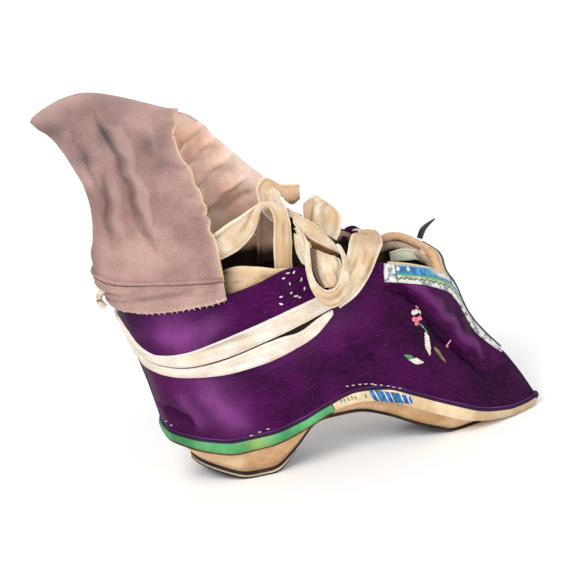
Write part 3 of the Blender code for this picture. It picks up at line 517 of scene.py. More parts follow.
def ripple(points, size, seed):
    """Smooth unevenness of about -1 to 1 with bumps of this size in mm, the same on every run."""
    chance = np.random.default_rng(seed)
    total = 0.0
    for _ in range(8):
        way = unit(chance.normal(size=3)) * 2 * math.pi / (size * chance.uniform(0.7, 1.6))
        total = total + np.sin(points @ way + chance.uniform(0, 6.28))
    return total / 4


def creases(points, table):
    """Height in mm that the table's troughs and ridges give at points."""
    y = points[..., 1]
    x = points[..., 0] + 0.9 * ripple(points, 8, 61)
    z = points[..., 2] + 0.6 * ripple(points, 6, 62)
    height = np.zeros(x.shape)
    for which, width, high, line in table:
        line = np.asarray(line, float)
        length = distances(line)
        nearest = np.full(x.shape, 1e9)
        along = np.zeros(x.shape)
        for (ax, az), (bx, bz), first, last in zip(line, np.diff(line, axis=0), length, length[1:]):
            t = np.clip(((x - ax) * bx + (z - az) * bz) / (bx * bx + bz * bz), 0, 1)
            far = np.hypot(x - ax - t * bx, z - az - t * bz)
            closer = far < nearest
            nearest = np.where(closer, far, nearest)
            along = np.where(closer, (first + t * (last - first)) / length[-1], along)
        fade = np.clip(np.minimum(along, 1 - along) * 4 + 0.25, 0, 1)
        bump = high * fade * peak(nearest, 0, width)
        if which:
            bump = bump * ease(y * which, -1, 3)
        height += bump
    return height


# Meshes


def placed(name, data):
    made = bpy.data.objects.new(name, data)
    bpy.context.scene.collection.objects.link(made)
    return made


def put(name, looks, points, faces, slots=None, uv=None, marks=None, weld=False, sharp=50):
    """One piece from points in mm; uv is in mm too, and marks are per-point values."""
    data = bpy.data.meshes.new(name)
    data.from_pydata((np.asarray(points, float) * MM).tolist(), [], [list(map(int, f)) for f in faces])
    for look in looks:
        data.materials.append(look)
    if slots is not None:
        data.polygons.foreach_set("material_index", np.asarray(slots, np.int32))
    if uv is not None:
        layer = data.uv_layers.new(name="cloth")
        corner = np.empty(len(data.loops), np.int32)
        data.loops.foreach_get("vertex_index", corner)
        layer.data.foreach_set("uv", (np.asarray(uv, float)[corner] * 0.01).astype(np.float32).ravel())
    for key, values in (marks or {}).items():
        attribute = data.attributes.new(key, "FLOAT", "POINT")
        attribute.data.foreach_set("value", np.asarray(values, np.float32).ravel())
    mesh = bmesh.new()
    mesh.from_mesh(data)
    if weld:
        bmesh.ops.remove_doubles(mesh, verts=mesh.verts, dist=2e-7)
        bmesh.ops.dissolve_degenerate(mesh, edges=mesh.edges, dist=1e-7)
    bmesh.ops.recalc_face_normals(mesh, faces=mesh.faces)
    if mesh.calc_volume(signed=True) < 0:
        bmesh.ops.reverse_faces(mesh, faces=mesh.faces)
    mesh.to_mesh(data)
    mesh.free()
    data.shade_smooth()
    data.set_sharp_from_angle(angle=math.radians(sharp))
    made = placed(name, data)
    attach(made, "root")
    return made


def grid_faces(rows, cols, start=0):
    """Four-sided faces of a grid of points that are numbered row by row."""
    i, j = np.meshgrid(np.arange(rows - 1), np.arange(cols - 1), indexing="ij")
    a = (start + i * cols + j).ravel()
    return np.stack([a, a + 1, a + cols + 1, a + cols], 1)


def doubled(marks, shape):
    """The grid's marks, for its front and its back."""
    return {key: np.concatenate([np.broadcast_to(value, shape).ravel()] * 2) for key, value in marks.items()}


def between(line, shares):
    """A grid from the line's first three columns to its last three."""
    v = shares[None, :, None]
    return line[:, None, :3] * (1 - v) + line[:, None, 3:] * v


def disc(x, z, wide, high, end, count):
    """The outline of a small disc in X and Z."""
    return [(x + wide * math.cos(a), z + high * math.sin(a)) for a in np.linspace(0, end, count)]


def cloth_uv(grid):
    """Lengths in mm along and across a grid of points."""
    along = np.linalg.norm(np.diff(grid, axis=0), axis=2).mean(1)
    over = np.linalg.norm(np.diff(grid, axis=1), axis=2)
    u = np.concatenate([[0], np.cumsum(along)])
    v = np.concatenate([np.zeros((len(grid), 1)), np.cumsum(over, axis=1)], axis=1)
    return np.stack([np.broadcast_to(u[:, None], v.shape), v], -1)


def facing(grid):
    """Which way the grid faces at each of its points."""
    return unit(np.cross(np.gradient(grid, axis=0), np.gradient(grid, axis=1)))


def tube(line, radius, sides=8, flat=1.0, up=(0, 0, 1)):
    """Points and faces of a bar along a line; radius may change along it, and flat squashes it."""
    line = np.asarray(line, float)
    radius = np.broadcast_to(np.asarray(radius, float), len(line))
    run = unit(np.gradient(line, axis=0))
    first = unit(np.cross(run, up))
    second = np.cross(first, run)
    turn = np.linspace(0, 2 * math.pi, sides, endpoint=False)
    points = line[:, None] + radius[:, None, None] * (
        first[:, None] * np.cos(turn)[None, :, None] + flat * second[:, None] * np.sin(turn)[None, :, None]
    )
    faces = []
    for i in range(len(line) - 1):
        for k in range(sides):
            n = (k + 1) % sides
            faces.append((i * sides + k, i * sides + n, (i + 1) * sides + n, (i + 1) * sides + k))
    faces.append(tuple(range(sides))[::-1])
    faces.append(tuple((len(line) - 1) * sides + k for k in range(sides)))
    return points.reshape(-1, 3), faces


def bundle(name, looks, parts, slots=None):
    """One piece from many loose parts, each its points and faces; slots gives each part's look."""
    points, faces, which = [], [], []
    count = 0
    for k, (some, rest) in enumerate(parts):
        points.append(some)
        faces += [tuple(i + count for i in face) for face in rest]
        which += [slots[k] if slots else 0] * len(rest)
        count += len(some)
    points = np.concatenate(points)
    return put(name, looks, points, faces, which, points[:, [0, 2]], sharp=60)


def stitch(start, finish, normal, radius, rise):
    """A thread that comes out of the cloth at start, stands rise above it and goes in at finish."""
    t = np.linspace(0, 1, 6)[:, None]
    line = np.asarray(start) * (1 - t) + np.asarray(finish) * t
    line = line + np.asarray(normal) * (np.sin(math.pi * t) * (rise + 0.3 * radius) - 0.3 * radius)
    thick = radius * (0.55 + 0.45 * np.sin(math.pi * t[:, 0]))
    return tube(line, thick, 6, up=normal)


# Materials


def rgb(text):
    """A colour written as in a paint program, made linear."""
    values = [int(text[i : i + 2], 16) / 255 for i in (0, 2, 4)]
    return tuple(v / 12.92 if v <= 0.04045 else ((v + 0.055) / 1.055) ** 2.4 for v in values) + (1.0,)


def plug(tree, socket, value):
    """Link the socket to another one, or give it a fixed value."""
    if isinstance(value, bpy.types.NodeSocket):
        tree.links.new(value, socket)
    else:
        socket.default_value = value


class Look:
    """A node material under construction."""

    def __init__(self, name, rough, specular, sheen=0.0):
        self.made = bpy.data.materials.new(name)
        self.made.use_nodes = True
        self.tree = self.made.node_tree
        self.shader = self.tree.nodes["Principled BSDF"]
        self.set("Roughness", rough)
        self.set("Sheen Weight", sheen)
        self.set("Specular IOR Level", specular)
        self.set("Coat Weight", 0.0)

    def set(self, socket, value):
        plug(self.tree, self.shader.inputs[socket], value)

    def node(self, kind, inputs=None, **settings):
        made = self.tree.nodes.new(kind)
        for key, value in settings.items():
            setattr(made, key, value)
        for key, value in (inputs or {}).items():
            plug(self.tree, made.inputs[key], value)
        return made

    def place(self):
        return self.node("ShaderNodeTexCoord").outputs["Object"]

    def cloth(self):
        return self.node("ShaderNodeUVMap", uv_map="cloth").outputs["UV"]

    def mark(self, name):
        return self.node("ShaderNodeAttribute", attribute_name=name).outputs["Fac"]

    def streaks(self, x, y, detail=3.0):
        """Noise in the cloth's own directions, with this many turns along each."""
        inputs = {"Vector": self.cloth(), "Scale": (x, y, x)}
        return self.noise(self.node("ShaderNodeMapping", inputs).outputs["Vector"], 1.0, detail)

    def noise(self, vector, scale, detail=3.0, rough=0.55):
        inputs = {"Vector": vector, "Scale": scale, "Detail": detail, "Roughness": rough}
        return self.node("ShaderNodeTexNoise", inputs).outputs["Fac"]

    def sum(self, kind, a, b=0.0, c=None, clamp=False):
        inputs = {0: a, 1: b} if c is None else {0: a, 1: b, 2: c}
        return self.node("ShaderNodeMath", inputs, operation=kind, use_clamp=clamp).outputs[0]

    def step(self, value, low, high):
        """0 below low and 1 above high."""
        inputs = {"Value": value, "From Min": low, "From Max": high}
        return self.node("ShaderNodeMapRange", inputs, interpolation_type="SMOOTHSTEP").outputs["Result"]

    def mix(self, share, a, b, kind="MIX"):
        made = self.node("ShaderNodeMix", data_type="RGBA", blend_type=kind)
        for socket, value in ((0, share), (6, a), (7, b)):
            plug(self.tree, made.inputs[socket], value)
        return made.outputs[2]

    def tint(self, colour, share, shade, much=None):
        """The colour with a share of a shade laid over it, or with this much of that share."""
        share = share if much is None else self.sum("MULTIPLY", share, much)
        return self.mix(share, colour, rgb(shade))

    def dimmed(self, colour, light):
        grey = self.node("ShaderNodeCombineColor", {0: light, 1: light, 2: light}).outputs[0]
        return self.mix(1.0, colour, grey, "MULTIPLY")

    def threads(self, pitch):
        """Height of a plain weave whose threads lie this far apart, in mm."""
        split = self.node("ShaderNodeSeparateXYZ", {"Vector": self.cloth()})
        turns = [self.sum("MULTIPLY", split.outputs[k], 100 * math.pi / pitch) for k in (0, 1)]
        return self.sum("MULTIPLY", *(self.sum("SINE", turn) for turn in turns))

    def bump(self, height, distance):
        inputs = {"Height": height, "Distance": distance * MM, "Strength": 1.0}
        self.set("Normal", self.node("ShaderNodeBump", inputs).outputs["Normal"])

    def finish(self, colour):
        self.set("Base Color", colour)
        return self.made


def solid(outer, inner, marks=None, inner_slot=0, high=None):
    """A closed wall between two grids; high says which rows are closed at the last column."""
    rows, cols = outer.shape[:2]
    half = rows * cols
    quads = [grid_faces(rows, cols), grid_faces(rows, cols, half)[:, ::-1]]
    slots = [np.zeros(len(quads[0])), np.full(len(quads[1]), inner_slot)]
    index = np.arange(half).reshape(rows, cols)
    for line in (index[0], index[-1], index[:, 0], index[:, -1]):
        quads.append(np.stack([line[:-1], line[1:], line[1:] + half, line[:-1] + half], 1))
        slots.append(np.zeros(len(line) - 1))
    if high is not None:
        kept = high[:-1] & high[1:]
        quads[-1], slots[-1] = quads[-1][kept], slots[-1][kept]
    points = np.concatenate([outer.reshape(-1, 3), inner.reshape(-1, 3)])
    uv = np.concatenate([cloth_uv(outer).reshape(-1, 2)] * 2)
    return points, np.concatenate(quads), np.concatenate(slots), uv, doubled(marks or {}, (rows, cols))


def build(name, looks, solids, weld=False):
    """One piece from solids as solid() gives them."""
    faces, base = [], 0
    for points, quads, _, _, _ in solids:
        faces.append(quads + base)
        base += len(points)
    marks = {key: np.concatenate([one[4][key] for one in solids]) for key in solids[0][4]}
    points, slots, uv = (np.concatenate([one[k] for one in solids]) for k in (0, 2, 3))
    return put(name, looks, points, np.concatenate(faces), slots, uv, marks, weld)


def relief(points):
    """Height of the silk's creases and unevenness over its even surface."""
    even = 0.15 * ripple(points, 15, 3) + 0.05 * ripple(points, 4.5, 5)
    return creases(points, UPPER_CREASES) + even * ease(points[..., 0], 106, 96)


def on_silk(places, shares, out):
    """Points this far outside the creased silk."""
    base = skin(places, shares)
    return skin(places, shares, relief(base) + out)


def spots(points, table):
    """1 at the table's X, Z spots and fading over their radius, on the near side."""
    value = np.zeros(points.shape[:-1])
    for x, z, radius in table:
        far = np.hypot(points[..., 0] - x, points[..., 2] - z)
        value = np.maximum(value, peak(far, 0, radius))
    return value * ease(points[..., 1], 2, -2)


def surface(made):
    """A tree of the piece's faces, to find the nearest point on it."""
    data = made.data
    return BVHTree.FromPolygons([v.co[:] for v in data.vertices], [p.vertices[:] for p in data.polygons])


def touch(tree, x, y, z):
    """The point of the surface nearest to this one, and the way it faces."""
    spot, normal, _, _ = tree.find_nearest(Vector((x, y, z)) * MM)
    return np.array(spot) / MM, np.array(normal)


def satin(tree, outline, y, slant, gap=0.42, radius=0.26):
    """Threads side by side that fill an outline given in X and Z."""
    turn = math.radians(slant)
    along = np.array((math.cos(turn), math.sin(turn)))
    over = np.array((-along[1], along[0]))
    flat = np.asarray(outline, float)
    heights, runs = flat @ over, flat @ along
    parts = []
    for level in np.arange(heights.min() + gap / 2, heights.max(), gap):
        cuts = []
        for i in range(len(flat)):
            a, b = heights[i - 1], heights[i]
            if (a < level) != (b < level):
                cuts.append(runs[i - 1] + (level - a) / (b - a) * (runs[i] - runs[i - 1]))
        if len(cuts) >= 2:
            line = []
            for t in np.linspace(0, 1, 6):
                run = min(cuts) * (1 - t) + max(cuts) * t
                spot, up = touch(tree, *np.insert(along * run + over * level, 1, y))
                line.append(spot + up * radius * (1.1 * math.sin(math.pi * t) - 0.2))
            parts.append(tube(line, radius, 6, up=up))
    return parts


# Looks

THREAD_PITCH, RIBBON_PITCH = 0.8, 0.5


def silk_look():
    """Purple silk: blotches, streaks along the threads, painted shine, painted shade in and below the folds,
    grain and specks.
    """
    look = Look("silk", rough=0.45, specular=0.05)
    place = look.place()
    colour = look.mix(look.step(look.noise(place, 60.0, 5.0), 0.35, 0.7), rgb("29032a"), rgb("440643"))
    streaks = look.streaks(14.0, 130.0)
    colour = look.tint(colour, look.step(streaks, 0.42, 0.75), "5f1c5e", 0.30)
    # Painted highlight: the satin's shine, in upright streaks
    upright = look.sum("MULTIPLY_ADD", look.streaks(170.0, 16.0), 0.9, 0.4)
    colour = look.tint(colour, look.sum("MULTIPLY", look.mark("worn"), upright, clamp=True), "98509a")
    # Painted shade in and below the folds
    colour = look.tint(colour, look.mark("deep"), "180218", 0.85)
    grain = look.noise(place, 1500.0, 2.0)
    colour = look.tint(colour, look.step(grain, 0.52, 0.7), "6a2f6a", 0.22)
    specks = look.step(look.noise(place, 700.0, 2.0), 0.69, 0.75)
    colour = look.tint(colour, specks, "b79ab8", 0.06)
    look.bump(look.sum("MULTIPLY_ADD", streaks, 1.4, look.sum("MULTIPLY", grain, 1.2)), 0.09)
    return look.finish(colour)


def cloth_look(name, pale, deep, stain=None, seed=0.0, blotch=60.0, weave=0.06, grain=0.2, **tints):
    """Woven cotton in two tones, with a stain, uneven threads and the tints of its marks.

    The tints are rim, which lightens edges and on the cuff's ridges is painted highlight, warm, a painted
    warm shade, and dark, mostly painted shade and on the cuff also its stains; hollow names the mark that
    dark follows.
    """
    look = Look(name, rough=0.92, sheen=0.1, specular=0.15)
    shift = {0: look.place(), 1: (seed, seed * 1.7, -seed)}
    moved = look.node("ShaderNodeVectorMath", shift, operation="ADD").outputs[0]
    colour = look.mix(look.step(look.noise(moved, blotch, 4.0), 0.36, 0.68), rgb(deep), rgb(pale))
    threads = look.sum("MULTIPLY", look.step(look.streaks(12.0, 120.0), 0.35, 0.75), 0.12)
    colour = look.mix(threads, colour, rgb(pale), "OVERLAY")
    if stain:
        where = look.step(look.noise(moved, blotch * 0.55, 6.0, 0.65), 0.56, 0.72)
        colour = look.tint(colour, where, stain, 0.55)
    crepe = look.streaks(130.0, 230.0, 2.0)
    light = look.sum("MULTIPLY_ADD", look.step(crepe, 0.3, 0.7), grain, 1.0 - 0.6 * grain)
    colour = look.dimmed(colour, light)
    height = look.sum("MULTIPLY_ADD", crepe, 1.5, look.threads(THREAD_PITCH))
    look.bump(look.sum("MULTIPLY_ADD", look.noise(moved, 2500.0, 2.0), 1.2, height), weave)
    # Painted shade in a warm tint, lighter rims, then the dark tint of painted shade and stains
    if "warm" in tints:
        colour = look.tint(colour, look.mark("warm"), tints["warm"], 0.75)
    if "rim" in tints:
        colour = look.tint(colour, look.mark("rim"), tints["rim"], 0.7)
    colour = look.tint(colour, look.mark(tints.get("hollow", "deep")), tints.get("dark", "3a2418"))
    return look.finish(colour)


def plain_look(name, pale, deep, rough=0.7, blotch=90.0, grain=(20.0, 300.0), height=0.05, specular=0.3):
    """A hard or bound surface: two tones in streaks and blotches, with a fine grain."""
    look = Look(name, rough=rough, specular=specular)
    colour = look.mix(look.step(look.noise(look.place(), blotch, 5.0), 0.35, 0.7), rgb(deep), rgb(pale))
    grains = look.streaks(*grain)
    colour = look.dimmed(colour, look.sum("MULTIPLY_ADD", grains, 0.5, 0.72))
    colour = look.tint(colour, look.mark("rim"), "a9b452")
    colour = look.tint(colour, look.mark("deep"), "2c1a12")
    look.bump(grains, height)
    return look.finish(colour)


def ribbon_look():
    """The woven ribbon: a white end, a blue field with dots, green, olive and a white scalloped edge."""
    look = Look("ribbon", rough=0.6, sheen=0.2, specular=0.35)
    x, over = look.mark("along"), look.mark("over")
    fleck = look.noise(look.place(), 420.0, 3.0)
    white = look.mix(look.step(fleck, 0.47, 0.62), rgb("d8d4cc"), rgb("6d7a88"))
    blue = look.step(look.noise(look.place(), 500.0, 2.0), 0.4, 0.65)
    blue = look.mix(blue, rgb("0f5f96"), rgb("2f93c4"))
    olive = look.step(look.noise(look.place(), 330.0, 3.0), 0.4, 0.6)
    olive = look.mix(olive, rgb("c9c193"), rgb("8a9a5e"))
    wave = look.sum("SINE", look.sum("MULTIPLY", x, 3.1))
    low_edge = look.sum("MULTIPLY_ADD", wave, 0.045, 0.25)
    colour = look.mix(look.sum("GREATER_THAN", over, low_edge), white, olive)
    colour = look.tint(colour, look.sum("COMPARE", over, low_edge, 0.035), "2b3550")
    colour = look.tint(colour, look.sum("GREATER_THAN", over, 0.41), "3f9a6a")
    field = look.mix(look.step(x, 73.0, 77.0), blue, white)
    colour = look.mix(look.sum("GREATER_THAN", over, 0.49), colour, field)
    teal = look.sum("COMPARE", over, 0.56, 0.07)
    colour = look.tint(colour, look.sum("MULTIPLY", teal, look.step(x, 72.0, 75.0)), "2c7f9c")
    colour = look.mix(look.step(x, 84.0, 90.0), colour, white)
    colour = look.tint(colour, look.sum("GREATER_THAN", over, 0.91), "b8a78c")
    colour = look.mix(look.sum("LESS_THAN", x, 59.6), colour, white)
    colour = look.tint(colour, look.sum("COMPARE", x, 59.6, 0.16), "2b3550")
    look.bump(look.sum("MULTIPLY_ADD", fleck, 1.5, look.threads(RIBBON_PITCH)), 0.09)
    return look.finish(colour)


SILK = silk_look()
# Cotton inside the silk; its dark tint, where the hollow mark is, is painted shade
INSIDE = cloth_look(
    "inside_cotton", "cdb3a0", "a88a78", "7d6a5c", seed=3.0, dark="2c1f19", hollow="hollow"
)
MAUVE = cloth_look(
    "mauve_cotton", "b3928a", "8a6d66", "5c5a68", 1.0, 42.0, rim="c9ada0", grain=0.28, dark="403a44"
)
PEACH = cloth_look(
    "peach_lining", "ffe4d6", "f0c4ae", "d8a48a", 2.0, 48.0, rim="f8e6d6", dark="8a4a38", weave=0.03
)
# Tape cotton; its warm tint is painted shade
TAPE = cloth_look(
    "tape_cotton", "e3d6c1", "c7ac8a", "b8906a", 4.0, 90.0, rim="f0e4d0", dark="50301c", warm="c29d74"
)
WRAP_TAPE = cloth_look(
    "wrap_cotton", "e9ded3", "d3c4b2", "bba183", 8.0, 90.0, rim="eee6d9", dark="6a5038"
)
# The tape's cotton in painted shade, for the knot's underside
UNDERSIDE_SHADE = cloth_look("tape_underside_painted_shade", "a5784f", "7a5030", "4a2c18", 5.0, rim="c89c70", dark="2a160c")
CREAM = cloth_look("cream_cotton", "ecdcc4", "cfb491", "a98a64", 6.0, rim="f6ecd8", dark="5c4030")
COLLAR = cloth_look(
    "collar_cotton", "dcc4a4", "bf9d78", "96714e", 9.0, rim="efdcc0", dark="281b15", grain=0.28
)
COVER = cloth_look("sole_cotton", "e6c8a2", "cb9f72", "9c6a3c", 7.0, 75.0, rim="ecd6b4")
SHADE_TAPE = cloth_look("shaded_tape", "e2bfae", "c49a88", seed=4.5, rim="e4c6b4", dark="2a1c16")
GREY_FOLD = cloth_look("grey_fold", "b5a390", "8c7a68", seed=4.7)
FACE_TAPE = cloth_look("facing_cotton", "e8c8b4", "cf9f88", seed=4.8, rim="c9a58c")
PATCH = cloth_look("pale_patch", "d2d4bf", "a5a98c", seed=4.6)
ROLL = cloth_look("roll_cotton", "d9b48c", "b5885c", seed=4.3)
HEM = cloth_look("hem_cord", "dcc0a0", "bf9c7a", seed=4.9)
# Painted shadow: the look of dark sheets set where there is only shade
SHADOW = cloth_look("painted_shadow", "2a1a12", "1a100b", seed=2.5)
GREEN = plain_look("green_edge", "5fae72", "3c8650", grain=(150.0, 20.0))
EDGE = plain_look("cream_edge", "ead3b2", "cdb088", grain=(150.0, 20.0))
DARK = plain_look("dark_piping", "2e0a39", "1c0524", 0.6)
VIOLET = plain_look("violet_line", "6a3478", "451a54", 0.6)
LEATHER = plain_look("tread_leather", "3a2820", "1c1210", 0.75, 120.0, height=0.15)
PALE_LAYER = plain_look("pale_layer", "d9cdb8", "a8987f", 0.8)
BROWN = plain_look("brown_line", "6b4226", "452815", 0.75)
THREAD = plain_look("cream_thread", "e9dccb", "c2ae94", 0.8, 400.0)
PINK = plain_look("pink_thread", "ee9aae", "d0506e", 0.55, 500.0)
WHITE = plain_look("white_thread", "f0ebe2", "c4bcae", 0.55, 500.0)
LEAF = plain_look("leaf_thread", "6fae84", "2f7a52", 0.55, 500.0)
OLIVE = plain_look("olive_thread", "8d8458", "54502e", 0.55, 500.0)
BLUE = plain_look("blue_thread", "3f86c8", "1b4d96", 0.55, 500.0)
NAVY = plain_look("navy_piping", "24404f", "14242f", 0.6)
HORN_LOOK = plain_look("horn", "2a2a34", "12121a", 0.35, specular=0.5)


# Pieces


def halves(rows):
    """Places all round: the far side's rows from the last one, then the near side's."""
    return np.concatenate([-rows[::-1][:-1], rows])


ALL_ROUND = halves(np.arange(0, TIP + 0.01, 0.1))


def silk_line(places, share, out):
    """on_silk() at one share all along."""
    return on_silk(places, np.array([share]), out)[:, 0]


def make_upper():
    """The hollow silk wall with its painted shine, painted shade in its folds and cotton inside."""
    shares = np.linspace(0, 1, 71)
    base = skin(ALL_ROUND, shares)
    high = relief(base)
    outer = skin(ALL_ROUND, shares, high)
    inner = skin(ALL_ROUND, shares, high - UPPER_WALL)
    # The inner face ends at the centre plane
    sign = np.sign(ALL_ROUND)[:, None]
    inner[..., 1] = -sign * np.maximum(-sign * inner[..., 1], 0)
    x, z = base[..., 0], base[..., 2]
    # Painted shade: below and in front of the main trough the silk is darkest
    under = np.interp(x, TROUGH_X, TROUGH_Z) - z
    deep = ease(under, 0, 1.6) * (0.75 * np.exp(-np.maximum(under, 0) / 16) + 0.12) * ease(x, 44, 58)
    # Painted highlight: broad bands of shine, and the tops of the ridges towards the toe
    worn = np.maximum(creases(base, PAINTED_SHINE), 0.28 * ease(high, 0.5, 1.5) * ease(x, 50, 58))
    # Painted shade on the inside: darker low down, and a little higher behind the throat
    hollow = np.clip(ease(71 - z, 0, 9) + ease(60 - x, 0, 4) * ease(77 - z, 0, 4), 0, 1)
    # The troughs get painted shade too
    marks = {"deep": np.clip(deep + ease(-high, 0.5, 1.6) * 0.6, 0, 1), "worn": worn, "hollow": hollow}
    wall = solid(outer, inner, marks, 1, np.abs(ALL_ROUND) <= RIDGE)
    made = build("silk_upper", [SILK, INSIDE], [wall], weld=True)
    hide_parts("upper")
    return made


def edge_line(places, out, up):
    """ring() at places, which are below 0 on the far side."""
    line = ring(np.abs(places), out, up)
    line[places < 0] *= MIRROR
    return line


def make_piping():
    ridge = silk_line(np.arange(RIDGE - 0.2, TIP + 0.01, 0.1), 1.0, 0.15)
    heel_seam = on_silk([-0.05, 0.0, 0.05], np.linspace(0.02, 0.86, 40), 0.0)[1]
    parts = [
        tube(edge_line(ALL_ROUND, 0.3, 0.25), 0.48, 10),
        tube(edge_line(ALL_ROUND, 0.25, 1.15), 0.26),
        tube(ridge, np.linspace(0.6, 0.45, len(ridge)), 10, up=(0, 1, 0)),
        tube(heel_seam, 0.3, up=(0, 1, 0)),
    ]
    bundle("piping", [DARK, VIOLET], parts, [0, 1, 0, 0])
    turn = np.linspace(0, math.pi, 9)
    knob = silk_line([TIP], 0.5, 0.4)[0] + np.stack([1.3 * -np.cos(turn), 0 * turn, 0 * turn], 1)
    bundle("toe_knob", [DARK], [tube(knob, 1.5 * np.sin(turn) + 0.05, 12)])


def make_trim():
    rows = np.arange(8.7, 14.91, 0.05)
    low = 1 - by_place(TRIM, 1, rows) / side_height(rows)
    shares = across(low, np.ones(len(rows)), 25)
    thick = TRIM_WALL * (1 - 0.6 * np.linspace(-1, 1, 25) ** 8)[None]
    solids = []
    for sign in (1, -1):
        inner = on_silk(sign * rows, shares, FIT / 2)
        outer = on_silk(sign * rows, shares, FIT + thick + 0.05 * ripple(inner, 3, 8))
        marks = {"along": outer[..., 0], "over": np.linspace(0, 1, 25)[None]}
        solids.append(solid(outer, inner, marks, high=rows <= RIDGE + 0.2))
    made = build("throat_ribbon", [ribbon_look()], solids)
    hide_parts("throat_trim")
    tree = surface(made)
    dots = []
    for x, y, z in RIBBON_DOTS:
        dots += satin(tree, disc(x, z, 0.75, 0.75, 5.5, 8), y, 30, 0.35)
    bundle("ribbon_dots", [WHITE], dots)


def make_roll():
    """The rolled lining along the throat's far edge with a navy piping before it, and the near edge's."""
    rows = np.linspace(8.9, 11.9, 60)
    line = silk_line(-rows, 0.995, -1.3)
    line = line + 0.25 * ripple(line, 6, 4)[:, None] * (0, 0, 1)
    parts = [
        tube(line[:34], 1.5, 12),
        tube(line[31:], 1.62, 12),
        tube(silk_line(rows, 1.0, -0.4), 0.7),
        tube(line - (1.0, 1.0, 3.0), 1.6, 10),
        tube(silk_line(-np.arange(10.2, 14.9, 0.1), 0.985, FIT + TRIM_WALL + 0.15), 0.35),
    ]
    bundle("throat_roll", [CREAM, GREY_FOLD, NAVY, HEM, ROLL], parts, [3, 4, 0, 1, 2])


def make_lining():
    places = np.linspace(-7.6, 7.6, 241)
    high = side_height(places)
    low = 1 - by_place(LINING, 2, np.abs(places)) / high
    top = 1 + by_place(LINING, 1, np.abs(places)) / high
    shares = across(low, top, 25)
    depth = -UPPER_WALL - 2 * FIT
    base = skin(places, shares, depth)
    waves = 0.14 * ripple(base * (0.5, 0.5, 1), 4, 12)
    inner = skin(places, shares, depth - LINING_WALL + waves)
    outer = skin(places, shares, depth + waves)
    v = np.linspace(0, 1, 25)[None]
    # Painted shade: darker low on the far side, towards the heel and in the hollows of the waves
    far = ease(base[..., 1], -6, 2) * ease((1 - v) * 14, 3.0, 6.0)
    front = ease(base[..., 0], 4, -6) * 0.9
    deep = np.clip(far + front + 0.3 * ease(-waves, 0.05, 0.2), 0, 1)
    made = build("lining", [COLLAR], [solid(outer, inner, {"rim": 0.8 * v**10, "deep": deep})])
    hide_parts("collar_lining")


def band_shares(places, start, finish, count):
    """Shares of the wall's height between two columns of BAND."""
    high = side_height(places)
    low = 1 + by_place(BAND, start, places) / high
    top = 1 + by_place(BAND, finish, places) / high
    return across(low, top, count)


def make_band():
    """The cuff's lower band and the stitches that fasten it to the silk."""
    places = np.linspace(BAND[0][0], BAND[-1][0], 281)
    shares = band_shares(places, 1, 2, 33)
    base = skin(places, shares)
    folds = 0.6 * ripple(base * (0.13, 0.13, 1), 3.4, 21) + 0.08 * ripple(base, 3, 22)
    v = np.linspace(0, 1, 33)[None]
    folds = folds * np.minimum(1, 6 * v * (1 - v)) + 0.3 * peak(v, 0.93, 0.06)
    outer = on_silk(places, shares, FIT + CUFF_WALL + folds)
    outer[..., 2] += 0.25 * ripple(base * (1, 1, 0.2), 1.6, 23) * (1 - v) ** 6
    inner = on_silk(places, shares, FIT / 2)
    # Lighter along the lower edge and towards both ends; painted shade in the folds
    marks = {
        "rim": 0.9 * (1 - v) ** 10 + ease(np.abs(places), 4.0, 4.3)[:, None] * 0.5,
        "deep": 0.35 * ease(-folds, 0.15, 0.6),
    }
    made = build("ankle_band", [MAUVE], [solid(outer, inner, marks)])
    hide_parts("cuff_band")
    run = distances(outer[:, 0])
    chance = np.random.default_rng(5)
    parts = []
    for spot in np.arange(1.0, run[-1] - 0.5, 2.3):
        spot += chance.uniform(-0.3, 0.3)
        place, share = np.interp(spot, run, places), np.interp(spot, run, shares[:, 0])
        tall = side_height([place])[0]
        slanted = place + chance.uniform(0.02, 0.06)
        start = silk_line([place], share + chance.uniform(0.5, 1.6) / tall, FIT + CUFF_WALL + 0.1)[0]
        finish = silk_line([slanted], share - 0.9 / tall, 0.1)[0]
        parts.append(stitch(start, finish, unit(start * (0.3, 1, 0)), 0.24, 0.3))
    bundle("whip_stitches", [THREAD], parts)


def cuff_grid(rows, cols):
    """The cuff's middle face from the band's upper edge to the cuff's free one."""
    places = np.linspace(BAND[-1][0], BAND[0][0], cols)
    seam = skin(places, band_shares(places, 2, 2, 2), FIT + CUFF_WALL / 2)[:, 0]
    seam[:, 2] += FIT
    lines = [seam] + [flow(np.reshape(level, (5, 3)), cols) for level in CUFF]
    return flow(np.reshape(lines, (len(lines), -1)), rows).reshape(rows, cols, 3)


